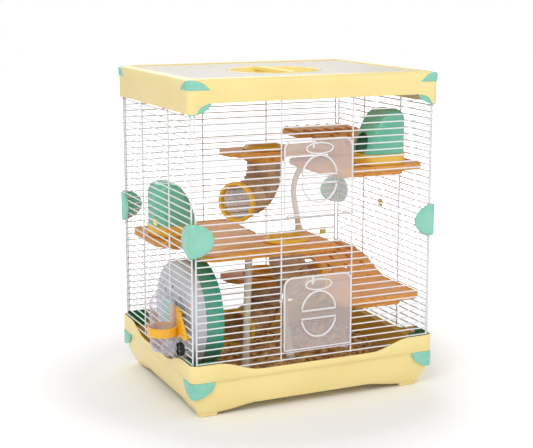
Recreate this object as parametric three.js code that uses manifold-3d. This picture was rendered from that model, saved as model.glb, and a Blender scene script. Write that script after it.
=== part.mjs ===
// Two-storey hamster cage: plastic tray and lid, wire panels held by corner clips, doors,
// shelves, houses, crawl tubes, running wheel and an outside water bottle.
// Millimetres, +Z up. The model is drawn from the tray's front left outer corner at floor
// level (x to the right, y to the back) and moved at the end so that the origin is under
// the middle of its box.
import * as THREE from 'three';
import { mergeVertices } from 'three/addons/utils/BufferGeometryUtils.js';
import { ParametricGeometry } from 'three/addons/geometries/ParametricGeometry.js';
import Module from 'manifold-3d';

const wasm = await Module();
wasm.setup();

// ---- driving dimensions ----
const WIDTH = 355;
const DEPTH = 282;
const HEIGHT = 435;
const BOTTLE_REACH = 38; // how far the bottle holder stands out of the left side
const CORNER_RADIUS = 10;
const GAP = 0.3; // between pieces that touch
const RIM = 74; // top of the tray's rim at its corners
const RIM_DIP = 14; // how far the rim dips between the corners
const RIM_BAND = 23;
const WALL = 1.4;
const PANEL_INSET = 3.5; // wire panel's middle plane, in from the outer faces
const WIRE = 2;
const WIRE_EDGE = 9; // outermost upright wires, in from the outer corner
const FRONT_UPRIGHT = 126.4;
const SIDE_UPRIGHT = 89.5;
const PITCH = 8.97; // spacing of the level wires
const LOWER_ROW = 66.2; // lowest level wire of each storey
const UPPER_ROW = 236;
const LOWER_ROWS = 19;
const UPPER_ROWS = 20;
const DOOR_ROWS = 11; // wire spaces that a door covers
const LOWER_HINGE = LOWER_ROW + PITCH;
const UPPER_HINGE = UPPER_ROW + 2 * PITCH;
const CLIP_RADIUS = 21.7;
const MIDDLE_CLIP = 234.5;
const STOREY = 175; // the furniture of the lower storey repeats this much higher up
const LOWER_DISH = 149; // top of the lower dish deck
const MIDDLE_DECK = 210; // top of the middle deck
const LEFT_SHELF = 205;
const RIGHT_SHELF = 309;
const LOWER_SHELF = 129;
const TUBE_OUTER = 25;
const TUBE_INNER = 22.5;
const WHEEL_RADIUS = 72;
const WHEEL_CENTRE = [98, 116]; // y, z of the wheel's axis

const CREAM = 0xf8e39a;
const TEAL = 0x7fd0bc;
const WHITE = 0xf2f4f6;
const WOOD = 0xcf8238;
const YELLOW = 0xf2c02d;
const CLEAR = 0xe9e2e6;
const FROST = 0xe6d8c4;

const cage = new THREE.Group();
cage.position.set((BOTTLE_REACH - WIDTH) / 2, -DEPTH / 2, 0);
const hamsterCage = new THREE.Group();
hamsterCage.add(cage);

// ---- meshes and solids ----

// Joins a geometry's shared corners, drops slivers of no area and turns its faces outwards.
function weld(geometry) {
  const plain = geometry.clone();
  plain.deleteAttribute('normal');
  plain.deleteAttribute('uv');
  const merged = mergeVertices(plain, 1e-4);
  const at = merged.getAttribute('position');
  const index = merged.getIndex().array;
  const kept = [];
  let volume = 0;
  const [a, b, c] = [new THREE.Vector3(), new THREE.Vector3(), new THREE.Vector3()];
  for (let i = 0; i < index.length; i += 3) {
    const [p, q, r] = [index[i], index[i + 1], index[i + 2]];
    if (p === q || q === r || r === p) continue;
    kept.push(p, q, r);
    volume += a.fromBufferAttribute(at, p).dot(b.fromBufferAttribute(at, q).cross(c.fromBufferAttribute(at, r)));
  }
  if (volume < 0) kept.reverse();
  merged.setIndex(kept);
  return merged;
}

function solid(geometry) {
  const merged = weld(geometry);
  return new wasm.Manifold(new wasm.Mesh({
    numProp: 3,
    vertProperties: new Float32Array(merged.getAttribute('position').array),
    triVerts: new Uint32Array(merged.getIndex().array),
  }));
}

function geometryOf(body) {
  const mesh = body.getMesh();
  const geometry = new THREE.BufferGeometry();
  const corners = new Float32Array(mesh.numVert * 3);
  for (let i = 0; i < mesh.numVert; i += 1) {
    for (let k = 0; k < 3; k += 1) corners[3 * i + k] = mesh.vertProperties[mesh.numProp * i + k];
  }
  geometry.setAttribute('position', new THREE.BufferAttribute(corners, 3));
  geometry.setIndex(Array.from(mesh.triVerts));
  return geometry;
}

function add(name, shape, color, roughness = 0.4, opacity = 1) {
  const geometry = shape.isBufferGeometry ? weld(shape) : geometryOf(shape);
  geometry.computeVertexNormals();
  const material = new THREE.MeshStandardMaterial({
    color, roughness, metalness: 0, opacity, transparent: opacity < 1,
  });
  const mesh = new THREE.Mesh(geometry, material);
  mesh.name = name;
  cage.add(mesh);
}

function union(...shapes) {
  return shapes.map((s) => (s.isBufferGeometry ? solid(s) : s)).reduce((sum, s) => sum.add(s));
}

function box(x0, x1, y0, y1, z0, z1) {
  const geometry = new THREE.BoxGeometry(x1 - x0, y1 - y0, z1 - z0);
  return geometry.translate((x0 + x1) / 2, (y0 + y1) / 2, (z0 + z1) / 2);
}

function extrude(shape, depth, curveSegments = 8) {
  return new THREE.ExtrudeGeometry(shape, { depth, bevelEnabled: false, curveSegments });
}

// A plate drawn in plan (x, y), from height z0 to z1.
function plate(shape, z0, z1, curveSegments = 8) {
  return extrude(shape, z1 - z0, curveSegments).translate(0, 0, z0);
}

// A slab drawn in (y, z) as seen from the right, from x0 to x1.
function slabAlongX(shape, x0, x1, curveSegments = 8) {
  const turn = new THREE.Matrix4().makeBasis(
    new THREE.Vector3(0, 1, 0), new THREE.Vector3(0, 0, 1), new THREE.Vector3(1, 0, 0));
  return extrude(shape, x1 - x0, curveSegments).applyMatrix4(turn).translate(x0, 0, 0);
}

// A slab drawn in (x, z) as seen from the front, from y0 to y1.
function slabAlongY(shape, y0, y1, curveSegments = 8) {
  return extrude(shape, y1 - y0, curveSegments).rotateX(Math.PI / 2).translate(0, y1, 0);
}

function roundedRect(x0, x1, y0, y1, r, Kind = THREE.Shape) {
  const shape = new Kind();
  shape.moveTo(x0 + r, y0);
  shape.lineTo(x1 - r, y0);
  shape.absarc(x1 - r, y0 + r, r, -Math.PI / 2, 0, false);
  shape.lineTo(x1, y1 - r);
  shape.absarc(x1 - r, y1 - r, r, 0, Math.PI / 2, false);
  shape.lineTo(x0 + r, y1);
  shape.absarc(x0 + r, y1 - r, r, Math.PI / 2, Math.PI, false);
  shape.lineTo(x0, y0 + r);
  shape.absarc(x0 + r, y0 + r, r, Math.PI, 1.5 * Math.PI, false);
  return shape;
}

function circle(x, y, r, Kind = THREE.Path) {
  const path = new Kind();
  path.absarc(x, y, r, 0, 2 * Math.PI, false);
  return path;
}

function lathe(points, segments = 24) {
  return new THREE.LatheGeometry(points.map(([r, h]) => new THREE.Vector2(r, h)), segments);
}

// ---- tray and lid: rings round a rounded rectangle, joined into one closed skin ----
const ARC_STEPS = 4;
const SIDE_STEPS = 6;

// Points round the footprint, drawn in by an inset; every ring has the same number of points.
function footprint(inset) {
  const r = Math.max(CORNER_RADIUS - inset, 2);
  const [w, d] = [WIDTH - inset - r, DEPTH - inset - r];
  const centres = [[w, inset + r], [w, d], [inset + r, d], [inset + r, inset + r]];
  const points = [];
  for (let c = 0; c < 4; c += 1) {
    const start = -Math.PI / 2 + (c * Math.PI) / 2;
    for (let i = 0; i <= ARC_STEPS; i += 1) {
      const angle = start + (i / ARC_STEPS) * (Math.PI / 2);
      points.push([centres[c][0] + r * Math.cos(angle), centres[c][1] + r * Math.sin(angle)]);
    }
    const end = start + Math.PI / 2;
    const next = centres[(c + 1) % 4];
    const from = points[points.length - 1];
    const to = [next[0] + r * Math.cos(end), next[1] + r * Math.sin(end)];
    for (let i = 1; i < SIDE_STEPS; i += 1) {
      const t = i / SIDE_STEPS;
      points.push([from[0] + t * (to[0] - from[0]), from[1] + t * (to[1] - from[1])]);
    }
  }
  return points;
}

// 0 at the corners of the footprint, rising smoothly to 1 along each side's middle part.
function awayFromCorner([x, y]) {
  const along = Math.max(Math.min(x, WIDTH - x), Math.min(y, DEPTH - y));
  return THREE.MathUtils.smoothstep(along, 28, 100);
}

// A skin through rings of [inset, height]; height is a number or a function of the outer point.
// A closed skin runs back to its first ring; an open one ends in a point at each end.
function skin(rings, closed) {
  const outer = footprint(0);
  const count = outer.length;
  const rows = rings.map(([inset, height]) => footprint(inset).map(([x, y], i) => [
    x, y, typeof height === 'function' ? height(outer[i]) : height]));
  if (!closed) {
    const pole = (row) => row.map(() => [WIDTH / 2, DEPTH / 2, row[0][2]]);
    rows.unshift(pole(rows[0]));
    rows.push(pole(rows[rows.length - 1]));
  }
  const steps = closed ? rows.length : rows.length - 1;
  return new ParametricGeometry((u, v, target) => {
    const row = rows[Math.round(v * steps) % rows.length];
    target.set(...row[Math.round(u * count) % count]);
  }, count, steps);
}

const rimTop = (p) => RIM - RIM_DIP * awayFromCorner(p);
const skirtFoot = (p) => 5 + 7 * awayFromCorner(p);
const BAND_FOOT = RIM - RIM_BAND;
const FLOOR = 15; // inside floor of the tray
const tray = skin([
  [22, 13], [19, skirtFoot], [15, skirtFoot], [9, 17], [5, 31], [3.2, 44], [2.8, BAND_FOOT],
  [0, BAND_FOOT], [0, rimTop], [WALL, rimTop], [WALL, 58.5], [4.6, 56], [5.2, 44], [7, 31],
  [11, 19], [20, FLOOR],
], false);
const FOOT = 27;
function foot(x, y) {
  return plate(roundedRect(x, x + FOOT, y, y + 16, 3), 0, 13.5, 2);
}
const FOOT_INSET = 16;
add('base_tray', union(tray,
  foot(FOOT_INSET, FOOT_INSET), foot(WIDTH - FOOT_INSET - FOOT, FOOT_INSET),
  foot(FOOT_INSET, DEPTH - FOOT_INSET - 16), foot(WIDTH - FOOT_INSET - FOOT, DEPTH - FOOT_INSET - 16)), CREAM);

const BEDDING_TOP = 30;
add('bedding', plate(roundedRect(15, WIDTH - 15, 15, DEPTH - 15, 4), FLOOR + 4, BEDDING_TOP, 2), 0x9a6a30, 0.9);

const LID_FOOT = 392; // lower edge of the lid's band at the corners and on the sides
const LID_FRONT = 405; // and along the front and back
const bandFoot = ([x]) => LID_FOOT + (LID_FRONT - LID_FOOT)
  * THREE.MathUtils.smoothstep(Math.min(x, WIDTH - x), 9, 40);
const WINDOW_INSET = 14;
const lidRing = skin([
  [0, bandFoot], [0, HEIGHT - 9], [2, HEIGHT - 3], [7, HEIGHT], [WINDOW_INSET, HEIGHT],
  [WINDOW_INSET, HEIGHT - 4], [WINDOW_INSET + 5, HEIGHT - 4], [WINDOW_INSET + 5, HEIGHT - 6],
  [6, HEIGHT - 6], [1.1, HEIGHT - 11], [1.1, bandFoot],
], true);

// ---- corner clips: discs folded round each corner ----

// The upright angle that a clip is cut from, between two offsets in from the outer faces.
function cornerAngle(from, to, z0, z1) {
  const reach = 42;
  const shape = new THREE.Shape();
  const outer = 9 - from;
  const inner = Math.max(9 - to, 0.5);
  shape.moveTo(reach, from);
  shape.lineTo(reach, to);
  shape.lineTo(to + inner, to);
  shape.absarc(to + inner, to + inner, inner, 1.5 * Math.PI, Math.PI, true);
  shape.lineTo(to, reach);
  shape.lineTo(from, reach);
  shape.lineTo(from, from + outer);
  shape.absarc(from + outer, from + outer, outer, Math.PI, 1.5 * Math.PI, false);
  return solid(plate(shape, z0, z1, 3));
}

// A level rod along the corner's diagonal: what it shares with the angle is the folded disc.
function diagonalRod(radius, z) {
  const rod = new THREE.CylinderGeometry(radius, radius, 120, 18);
  return solid(rod.rotateZ(-Math.PI / 4).translate(0, 0, z));
}

const corners = { fl: [1, 1], fr: [-1, 1], bl: [1, -1], br: [-1, -1] };
function toCorner(body, [sx, sy]) {
  let placed = body;
  if (sx < 0) placed = placed.mirror([1, 0, 0]).translate([WIDTH, 0, 0]);
  if (sy < 0) placed = placed.mirror([0, 1, 0]).translate([0, DEPTH, 0]);
  return placed;
}

const CLIP_FACE = 0.1;
const middleClip = cornerAngle(CLIP_FACE, 2.1, MIDDLE_CLIP - 24, MIDDLE_CLIP + 24)
  .intersect(diagonalRod(CLIP_RADIUS, MIDDLE_CLIP));
const TOP_CLIP = 412;
const topClipWeb = cornerAngle(1.72, 2.2, 385, HEIGHT);
const topTab = cornerAngle(0, 2.2, 421, 431);
const topClip = topClipWeb.add(topTab).intersect(diagonalRod(CLIP_RADIUS, TOP_CLIP));
const tabPocket = cornerAngle(-6, 2.5, 420.7, HEIGHT + 1).intersect(diagonalRod(CLIP_RADIUS + 0.4, TOP_CLIP));
const bottomClip = cornerAngle(0.2, 2.4, 20, BAND_FOOT - GAP)
  .intersect(diagonalRod(CLIP_RADIUS, BAND_FOOT));
let lid = solid(lidRing);
for (const [corner, side] of Object.entries(corners)) {
  add(`corner_clip_middle_${corner}`, toCorner(middleClip, side), TEAL);
  add(`corner_clip_top_${corner}`, toCorner(topClip, side), TEAL);
  add(`corner_clip_bottom_${corner}`, toCorner(bottomClip, side), TEAL);
  lid = lid.subtract(toCorner(tabPocket, side));
}
add('lid_frame', lid, CREAM);

// ---- lid window with its round carrying grip ----
const GRIP = [WIDTH / 2 - 4, 130];
const GRIP_RADIUS = 64;
const windowEdge = WINDOW_INSET + GAP;
const windowShape = roundedRect(windowEdge, WIDTH - windowEdge, windowEdge, DEPTH - windowEdge, 3);
windowShape.holes.push(circle(...GRIP, GRIP_RADIUS + 0.6));
add('lid_window', plate(windowShape, HEIGHT - 3.7, HEIGHT - 1.5, 14), CLEAR, 0.2, 0.6);
const dish = lathe([
  [0, -17], [GRIP_RADIUS - 14, -17], [GRIP_RADIUS - 4, -12], [GRIP_RADIUS - 1, -7], [GRIP_RADIUS + 4, -7],
  [GRIP_RADIUS + 4, -4], [GRIP_RADIUS - GAP, -4], [GRIP_RADIUS - GAP, -1.2], [GRIP_RADIUS - 3, -1.2],
  [GRIP_RADIUS - 7, -10], [GRIP_RADIUS - 14, -14.5], [0, -14.5]], 24).rotateX(Math.PI / 2).translate(...GRIP, HEIGHT);
const bar = box(GRIP[0] - 5, GRIP[0] + 5, GRIP[1] - GRIP_RADIUS + 2, GRIP[1] + GRIP_RADIUS - 2, HEIGHT - 6, HEIGHT);
add('carrying_grip', union(dish, bar), YELLOW);

// ---- wire panels: flat grids of level and upright wires ----

// A panel: a slab with a window between every two uprights and every two level wires, and
// one tall window for a door if there is one. `place` puts a block of the grid in the cage.
function panel(uprights, [lowest, rows, doorRow], hasDoor, place) {
  const half = WIRE / 2;
  const last = uprights.length - 1;
  const slab = place(uprights[0] - half, uprights[last] + half,
    lowest - half, lowest + (rows - 1) * PITCH + half, 0);
  const windows = [];
  for (let field = 0; field < last; field += 1) {
    let row = 0;
    while (row < rows - 1) {
      const span = hasDoor && field === 1 && row === doorRow ? DOOR_ROWS : 1;
      windows.push(solid(place(uprights[field] + half, uprights[field + 1] - half,
        lowest + row * PITCH + half, lowest + (row + span) * PITCH - half, 1)));
      row += span;
    }
  }
  return solid(slab).subtract(wasm.Manifold.union(windows));
}

const frontUprights = [WIRE_EDGE, FRONT_UPRIGHT, WIDTH - FRONT_UPRIGHT, WIDTH - WIRE_EDGE];
const sideUprights = [WIRE_EDGE, SIDE_UPRIGHT, DEPTH - SIDE_UPRIGHT, DEPTH - WIRE_EDGE];
const near = PANEL_INSET - WIRE / 2;
const far = PANEL_INSET + WIRE / 2;
const storeys = { lower: [LOWER_ROW, LOWER_ROWS, 1], upper: [UPPER_ROW, UPPER_ROWS, 2] };
for (const [storey, rows] of Object.entries(storeys)) {
  const onFront = (x0, x1, z0, z1, more) => box(x0, x1, near - more, far + more, z0, z1);
  const onBack = (x0, x1, z0, z1, more) => box(x0, x1, DEPTH - far - more, DEPTH - near + more, z0, z1);
  const onLeft = (y0, y1, z0, z1, more) => box(near - more, far + more, y0, y1, z0, z1);
  const onRight = (y0, y1, z0, z1, more) => box(WIDTH - far - more, WIDTH - near + more, y0, y1, z0, z1);
  add(`panel_front_${storey}`, panel(frontUprights, rows, true, onFront), WHITE);
  add(`panel_back_${storey}`, panel(frontUprights, rows, false, onBack), WHITE);
  add(`panel_left_${storey}`, panel(sideUprights, rows, false, onLeft), WHITE);
  add(`panel_right_${storey}`, panel(sideUprights, rows, false, onRight), WHITE);
}

// ---- doors: clear plates that hinge on a level wire ----
const DOOR_X = [127.6, 227.4];
function door(hinge) {
  const [x0, x1] = DOOR_X;
  const [z0, z1] = [hinge + 2.5, hinge + 101];
  const r = 13;
  const outline = new THREE.Shape();
  outline.moveTo(x0 + 3, z0);
  outline.lineTo(x1 - 3, z0);
  outline.lineTo(x1, z0 + 3);
  outline.lineTo(x1, z1 - r);
  outline.absarc(x1 - r, z1 - r, r, 0, Math.PI / 2, false);
  outline.lineTo(x0 + r, z1);
  outline.absarc(x0 + r, z1 - r, r, Math.PI / 2, Math.PI, false);
  outline.lineTo(x0, z0 + 3);
  const middle = [(x0 + x1) / 2 + 1, hinge + 46];
  const grip = new THREE.Shape();
  grip.absellipse(...middle, 28, 32, 0, 2 * Math.PI, false);
  for (const way of [1, -1]) {
    const half = new THREE.Path();
    const tilt = way * Math.asin(4 / 30);
    half.absellipse(...middle, 25.5, 29.5, way > 0 ? tilt : Math.PI - tilt, way > 0 ? Math.PI - tilt : 2 * Math.PI + tilt, false);
    grip.holes.push(half);
  }
  const lug = new THREE.Shape();
  const open = 0.9;
  lug.absarc(PANEL_INSET, hinge, 3.3, -Math.PI / 2 + open, Math.PI * 1.5 - open, false);
  lug.absarc(PANEL_INSET, hinge, 1.8, Math.PI * 1.5 - open, -Math.PI / 2 + open, true);
  const pieces = [slabAlongY(outline, 0.8, 2.2, 4), slabAlongY(grip, 0.1, 1, 7)];
  for (const x of [x0 + 5, x1 - 16]) {
    pieces.push(slabAlongX(lug, x, x + 11, 6), box(x, x + 11, 0.5, 1.6, hinge - 0.5, hinge + 6));
  }
  return union(...pieces);
}
add('lower_door', door(LOWER_HINGE), CLEAR, 0.15, 0.5);
add('upper_door', door(UPPER_HINGE), CLEAR, 0.15, 0.5);

// ---- shelves and decks ----
function shelf(x0, x1, y0, y1, top) {
  const board = plate(roundedRect(x0, x1, y0, y1, 14), top - 7, top, 3);
  const rib = plate(roundedRect(x0 + 22, x1 - 30, y0 + 2, y1 - 2, 8), top - 11, top - 6, 2);
  return union(board, rib);
}
add('left_shelf', shelf(8, 156, 138.5, 257, LEFT_SHELF), WOOD, 0.6);
add('right_shelf', shelf(196, 346, 16, 140, RIGHT_SHELF), WOOD, 0.6);
add('lower_shelf', shelf(220, 346, 16, 134, LOWER_SHELF), WOOD, 0.6);

const MIDDLE_RING = [162, 66];
const DISH_RING = [164, 140];
const COLLAR_HOLE = TUBE_OUTER + 1.5;
const middleDeck = roundedRect(28, 216, 16, 121, 16);
middleDeck.holes.push(circle(...MIDDLE_RING, COLLAR_HOLE));
add('middle_deck', plate(middleDeck, MIDDLE_DECK - 8, MIDDLE_DECK, 12), WOOD, 0.6);

// A dish deck: a plank with a round end, thickened to a funnel under its hole.
function dishDeck(top) {
  const [x, y] = DISH_RING;
  const plank = new THREE.Shape();
  plank.moveTo(136, 108);
  plank.lineTo(256, 108);
  plank.lineTo(256, 176);
  plank.lineTo(130, 176);
  plank.bezierCurveTo(112, 174, 102, 164, 102, 146);
  plank.bezierCurveTo(102, 124, 116, 108, 136, 108);
  const funnel = new THREE.CylinderGeometry(33, 28.5, 12, 24).rotateX(Math.PI / 2);
  const bore = new THREE.CylinderGeometry(COLLAR_HOLE, COLLAR_HOLE, 60, 24).rotateX(Math.PI / 2);
  return union(plate(plank, top - 6, top, 5), funnel.translate(x, y, top - 9))
    .subtract(solid(bore.translate(x, y, top)));
}
add('lower_dish_deck', dishDeck(LOWER_DISH), WOOD, 0.6);
add('upper_dish_deck', dishDeck(LOWER_DISH + STOREY), WOOD, 0.6);

// A ramp: a landing in the back right corner that slopes down along the side to the shelf.
function ramp(foot) {
  const line = new THREE.Shape();
  const rise = 25;
  line.moveTo(128, foot + GAP);
  line.lineTo(136, foot + GAP);
  line.bezierCurveTo(160, foot + 8, 172, foot + rise - 8, 196, foot + rise - 5);
  line.lineTo(258, foot + rise - 5);
  line.lineTo(258, foot + rise);
  line.lineTo(196, foot + rise);
  line.bezierCurveTo(170, foot + rise - 2, 160, foot + 12, 134, foot + 5);
  line.lineTo(128, foot + 3);
  const board = solid(slabAlongX(line, 262, 346, 6));
  const landing = plate(roundedRect(240, 346, 190, 258, 10), foot + rise - 5, foot + rise, 3);
  const cuts = [];
  for (const [x, y] of [[276, 158], [290, 180], [302, 156], [317, 178], [330, 158], [303, 190]]) {
    const leaf = new THREE.CylinderGeometry(3.4, 3.4, 80, 6).rotateX(Math.PI / 2).scale(1, 2.2, 1);
    cuts.push(solid(leaf.translate(x, y, foot + 10)));
  }
  const logs = [];
  for (let i = 0; i < 6; i += 1) {
    const log = new THREE.CylinderGeometry(5.5, 5.5, 60, 6).rotateZ(Math.PI / 2).rotateZ(Math.PI / 2);
    logs.push(solid(log.translate(252 + 17 * i, 226, foot + rise + 1)));
  }
  return cuts.reduce((body, cut) => body.subtract(cut), union(board, landing, ...logs));
}
add('lower_ramp', ramp(LOWER_SHELF), WOOD, 0.6);
add('upper_ramp', ramp(RIGHT_SHELF), WOOD, 0.6);

// ---- houses: a base tray and a lift-off hood with a round doorway in its sloping side ----
const HOUSE = 66; // from the upright back to the doorway
const HOUSE_WIDE = 56;
const HOUSE_ROUND = 20;
const HOUSE_BASE = 15;
// Drawn with the upright back at x = 0 and the slope falling towards +x.
function houseBase() {
  const rim = plate(roundedRect(0, HOUSE, 0, HOUSE_WIDE, HOUSE_ROUND), 0, HOUSE_BASE, 4);
  const well = plate(roundedRect(4, HOUSE - 4, 4, HOUSE_WIDE - 4, HOUSE_ROUND - 4), 3, HOUSE_BASE + 2, 4);
  return solid(rim).subtract(solid(well));
}
function hoodProfile(s) {
  const line = new THREE.Shape();
  line.moveTo(2 + s, 0);
  line.lineTo(2 + s, 46 - s);
  line.bezierCurveTo(2 + s, 56 - s, 10, 59 - s, 20, 59 - s);
  line.bezierCurveTo(44 - s, 58 - s, 54 - s, 36 - s, 61 - s, 14);
  line.lineTo(64 - s, 0);
  return line;
}
function houseHood() {
  const plan = solid(plate(roundedRect(0.5, HOUSE, 2, HOUSE_WIDE - 2, HOUSE_ROUND - 4), -1, 70, 4));
  const room = solid(plate(roundedRect(3, HOUSE - 3, 4.2, HOUSE_WIDE - 4.2, HOUSE_ROUND - 6), -1, 70, 3));
  const outer = solid(slabAlongY(hoodProfile(0), 2, HOUSE_WIDE - 2, 6)).intersect(plan);
  const inner = solid(slabAlongY(hoodProfile(2.2), 4, HOUSE_WIDE - 4, 6).translate(0, 0, -0.01)).intersect(room);
  const doorway = new THREE.CylinderGeometry(17, 17, 60, 16).rotateZ(Math.PI / 2);
  return outer.subtract(inner).subtract(solid(doorway.translate(64, HOUSE_WIDE / 2, 11)));
}
function house(prefix, turn, x, y, z) {
  const place = (body) => (turn ? body.mirror([1, 0, 0]).translate([HOUSE, 0, 0]) : body).translate([x, y, z]);
  add(`${prefix}_house_base`, place(houseBase()), 0xf6c850, 0.35);
  add(`${prefix}_house_hood`, place(houseHood().translate([0, 0, HOUSE_BASE + GAP])), 0x66c0a0, 0.25, 0.85);
}
house('left', false, 14.5, 166, LEFT_SHELF + GAP);
house('right', true, 258.5, 20.5, RIGHT_SHELF + GAP);

// ---- crawl tubes: bent pipes that hang from a collar and end in a mouth ring ----
function bentPipe(start, bend, mouth, rOut, rIn) {
  const path = new THREE.CubicBezierCurve3(
    new THREE.Vector3(...start), new THREE.Vector3(start[0], start[1], mouth[2] + 8),
    new THREE.Vector3(...bend), new THREE.Vector3(...mouth));
  const section = new THREE.Shape();
  section.absarc(0, 0, rOut, 0, 2 * Math.PI, false);
  section.holes.push(circle(0, 0, rIn));
  return new THREE.ExtrudeGeometry(section, { steps: 7, bevelEnabled: false, extrudePath: path, curveSegments: 9 });
}
function ringOn(end, direction, from, to, rOut, rIn) {
  const profile = [[rIn, from], [rOut, from], [rOut, to], [rIn, to], [rIn, from]];
  const ring = lathe(profile, 18);
  const turn = new THREE.Quaternion().setFromUnitVectors(
    new THREE.Vector3(0, 1, 0), new THREE.Vector3(...direction).normalize());
  return ring.applyMatrix4(new THREE.Matrix4().makeRotationFromQuaternion(turn)).translate(...end);
}
function tube(prefix, [x, y], deckTop, under, bend, mouth, mouthRing) {
  const start = [x, y, deckTop - under];
  const out = mouth.map((value, i) => value - bend[i]);
  add(`${prefix}_tube`, bentPipe(start, bend, mouth, TUBE_OUTER, TUBE_INNER), 0xa8744a, 0.4, 0.8);
  const collar = lathe([
    [TUBE_INNER, -under + GAP], [TUBE_OUTER + 1.1, -under + GAP], [TUBE_OUTER + 1.1, GAP],
    [TUBE_OUTER + 4.5, GAP], [TUBE_OUTER + 4, 3], [TUBE_INNER, 4], [TUBE_INNER, -under + GAP]], 18);
  add(`${prefix}_tube_collar`, collar.rotateX(Math.PI / 2).translate(x, y, deckTop), YELLOW);
  add(`${prefix}_tube_mouth`, ringOn(mouth, out, GAP, 8, mouthRing, TUBE_INNER), YELLOW);
}
for (const [storey, rise] of [['lower', 0], ['upper', STOREY]]) {
  tube(storey, DISH_RING, LOWER_DISH + rise, 16, [146, 128, 86 + rise], [108, 102, 86 + rise], 27.5);
}
tube('middle', MIDDLE_RING, MIDDLE_DECK, 10, [181, 68, 146], [206, 75, 146], 28.5);

// ---- legs ----
function leg(points, radius, footRadius) {
  const last = points.length - 1;
  const path = new THREE.CatmullRomCurve3(points.map(([x, y, z], i) => (
    new THREE.Vector3(x, y, z + (i === 0 ? 2.5 : 0) - (i === last ? 2.5 : 0)))));
  const section = circle(0, 0, radius, THREE.Shape);
  const stem = new THREE.ExtrudeGeometry(section, { steps: 6, bevelEnabled: false, extrudePath: path, curveSegments: 4 });
  const base = points[0];
  const flare = new THREE.CylinderGeometry(radius, footRadius, 8, 10).rotateX(Math.PI / 2);
  return union(stem, flare.translate(base[0], base[1], base[2] + 4));
}
add('middle_leg', leg([[99, 58, BEDDING_TOP + GAP], [101, 58, 120], [104, 58, MIDDLE_DECK - 8 - GAP]], 5, 9), FROST, 0.5, 0.8);
function curvedLeg(x, y, low, high) {
  const third = (high - low) / 3;
  return leg([[x, y, low], [x - 4, y, low + third], [x - 10, y, high - third], [x + 8, y, high]], 4, 6.5);
}
add('lower_leg', curvedLeg(192, 115, BEDDING_TOP + GAP, LOWER_DISH - 6 - GAP), FROST, 0.5, 0.8);
add('upper_leg', curvedLeg(204, 112, MIDDLE_DECK + GAP, RIGHT_SHELF - 7 - GAP), FROST, 0.5, 0.8);

// ---- running wheel: axis along x, a closed disc towards the side panel, open towards the room ----
function alongX(geometry, x) {
  return geometry.rotateZ(-Math.PI / 2).translate(x, ...WHEEL_CENTRE);
}
const R = WHEEL_RADIUS;
const AXLE = 4;
const discProfile = [
  [AXLE + 0.4, 0], [R - 7, 0], [R, 5], [R, 20], [R - 2, 20], [R - 2, 7], [R - 9, 2.5], [AXLE + 4, 2.5],
  [AXLE + 4, 9], [AXLE + 0.4, 9], [AXLE + 0.4, 0]];
let disc = solid(alongX(lathe(discProfile, 24), 12));
for (let i = 0; i < 6; i += 1) {
  const angle = (i / 6) * 2 * Math.PI;
  const slot = new THREE.CylinderGeometry(3.5, 3.5, 20, 6).scale(1, 1, 1.8);
  slot.translate(0, 0, 36).rotateY(angle).rotateZ(-Math.PI / 2).translate(12, ...WHEEL_CENTRE);
  disc = disc.subtract(solid(slot));
}
add('wheel_disc', disc, 0xcfcfdb, 0.3, 0.75);
const drumProfile = [
  [R - 4.6, 0], [R - 2.3, 0], [R - 2.3, 8.3], [R, 8.3], [R, 32], [R - 6, 32], [R - 6, 30], [R - 4.6, 28], [R - 4.6, 0]];
add('wheel_drum', alongX(lathe(drumProfile, 24), 24), 0x5a9678, 0.35, 0.85);
const axleProfile = [
  [0, -4.4], [AXLE, -4.4], [AXLE, 9.5], [AXLE + 3.5, 9.5], [AXLE + 3.5, 12], [0, 12]];
add('wheel_axle', alongX(lathe(axleProfile, 20), 12), TEAL);
const bracket = slabAlongX(roundedRect(
  WHEEL_CENTRE[0] - 22, WHEEL_CENTRE[0] + 22, WHEEL_CENTRE[1] - 22, WHEEL_CENTRE[1] + 22, 8), 4.8, 7.3, 4);
add('wheel_bracket', bracket, TEAL);

// ---- water bottle, hung outside the left side by a holder hooked on the wires ----
const BOTTLE = [-17.7, 57.5]; // x, y of its upright axis
const BOTTLE_RADIUS = 16.2;
const BOTTLE_FOOT = 82;
const BOTTLE_TOP = 161;
const TOE = [-15, 41, 90.6]; // round toe that turns the bottle's foot towards the cap
const TOE_RADIUS = 10.5;
const NECK = [36, LOWER_ROW + 2.5 * PITCH]; // y, z of the cap's axis, between two level wires
const NECK_RADIUS = 6.6;

// The bottle's outside, or with a wall's thickness its inside: an upright flask and its toe.
function flask(wall) {
  const r = BOTTLE_RADIUS - wall;
  const upright = lathe([
    [0, BOTTLE_FOOT + wall], [r - 6, BOTTLE_FOOT + 1 + wall], [r - 1.5, BOTTLE_FOOT + 6 + wall], [r, BOTTLE_FOOT + 14],
    [r, BOTTLE_TOP - 16], [r - 2.2, BOTTLE_TOP - 8 - wall], [r - 7.7, BOTTLE_TOP - 2 - wall], [0, BOTTLE_TOP - wall]], 18);
  const toe = new THREE.SphereGeometry(TOE_RADIUS - wall, 16, 10);
  return union(upright.rotateX(Math.PI / 2).translate(...BOTTLE, 0), toe.translate(...TOE));
}
function spin(profile, x) {
  return lathe(profile, 14).rotateZ(-Math.PI / 2).translate(x, ...NECK);
}
const neck = solid(spin([[0, -12], [NECK_RADIUS, -12], [NECK_RADIUS, -3.4], [0, -3.4]], 0));
const throat = solid(spin([[0, -16], [NECK_RADIUS - 1.8, -16], [NECK_RADIUS - 1.8, 2], [0, 2]], 0));
add('bottle_body', flask(0).add(neck).subtract(flask(1.8)).subtract(throat), 0xdfe0ee, 0.05, 0.4);

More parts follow.
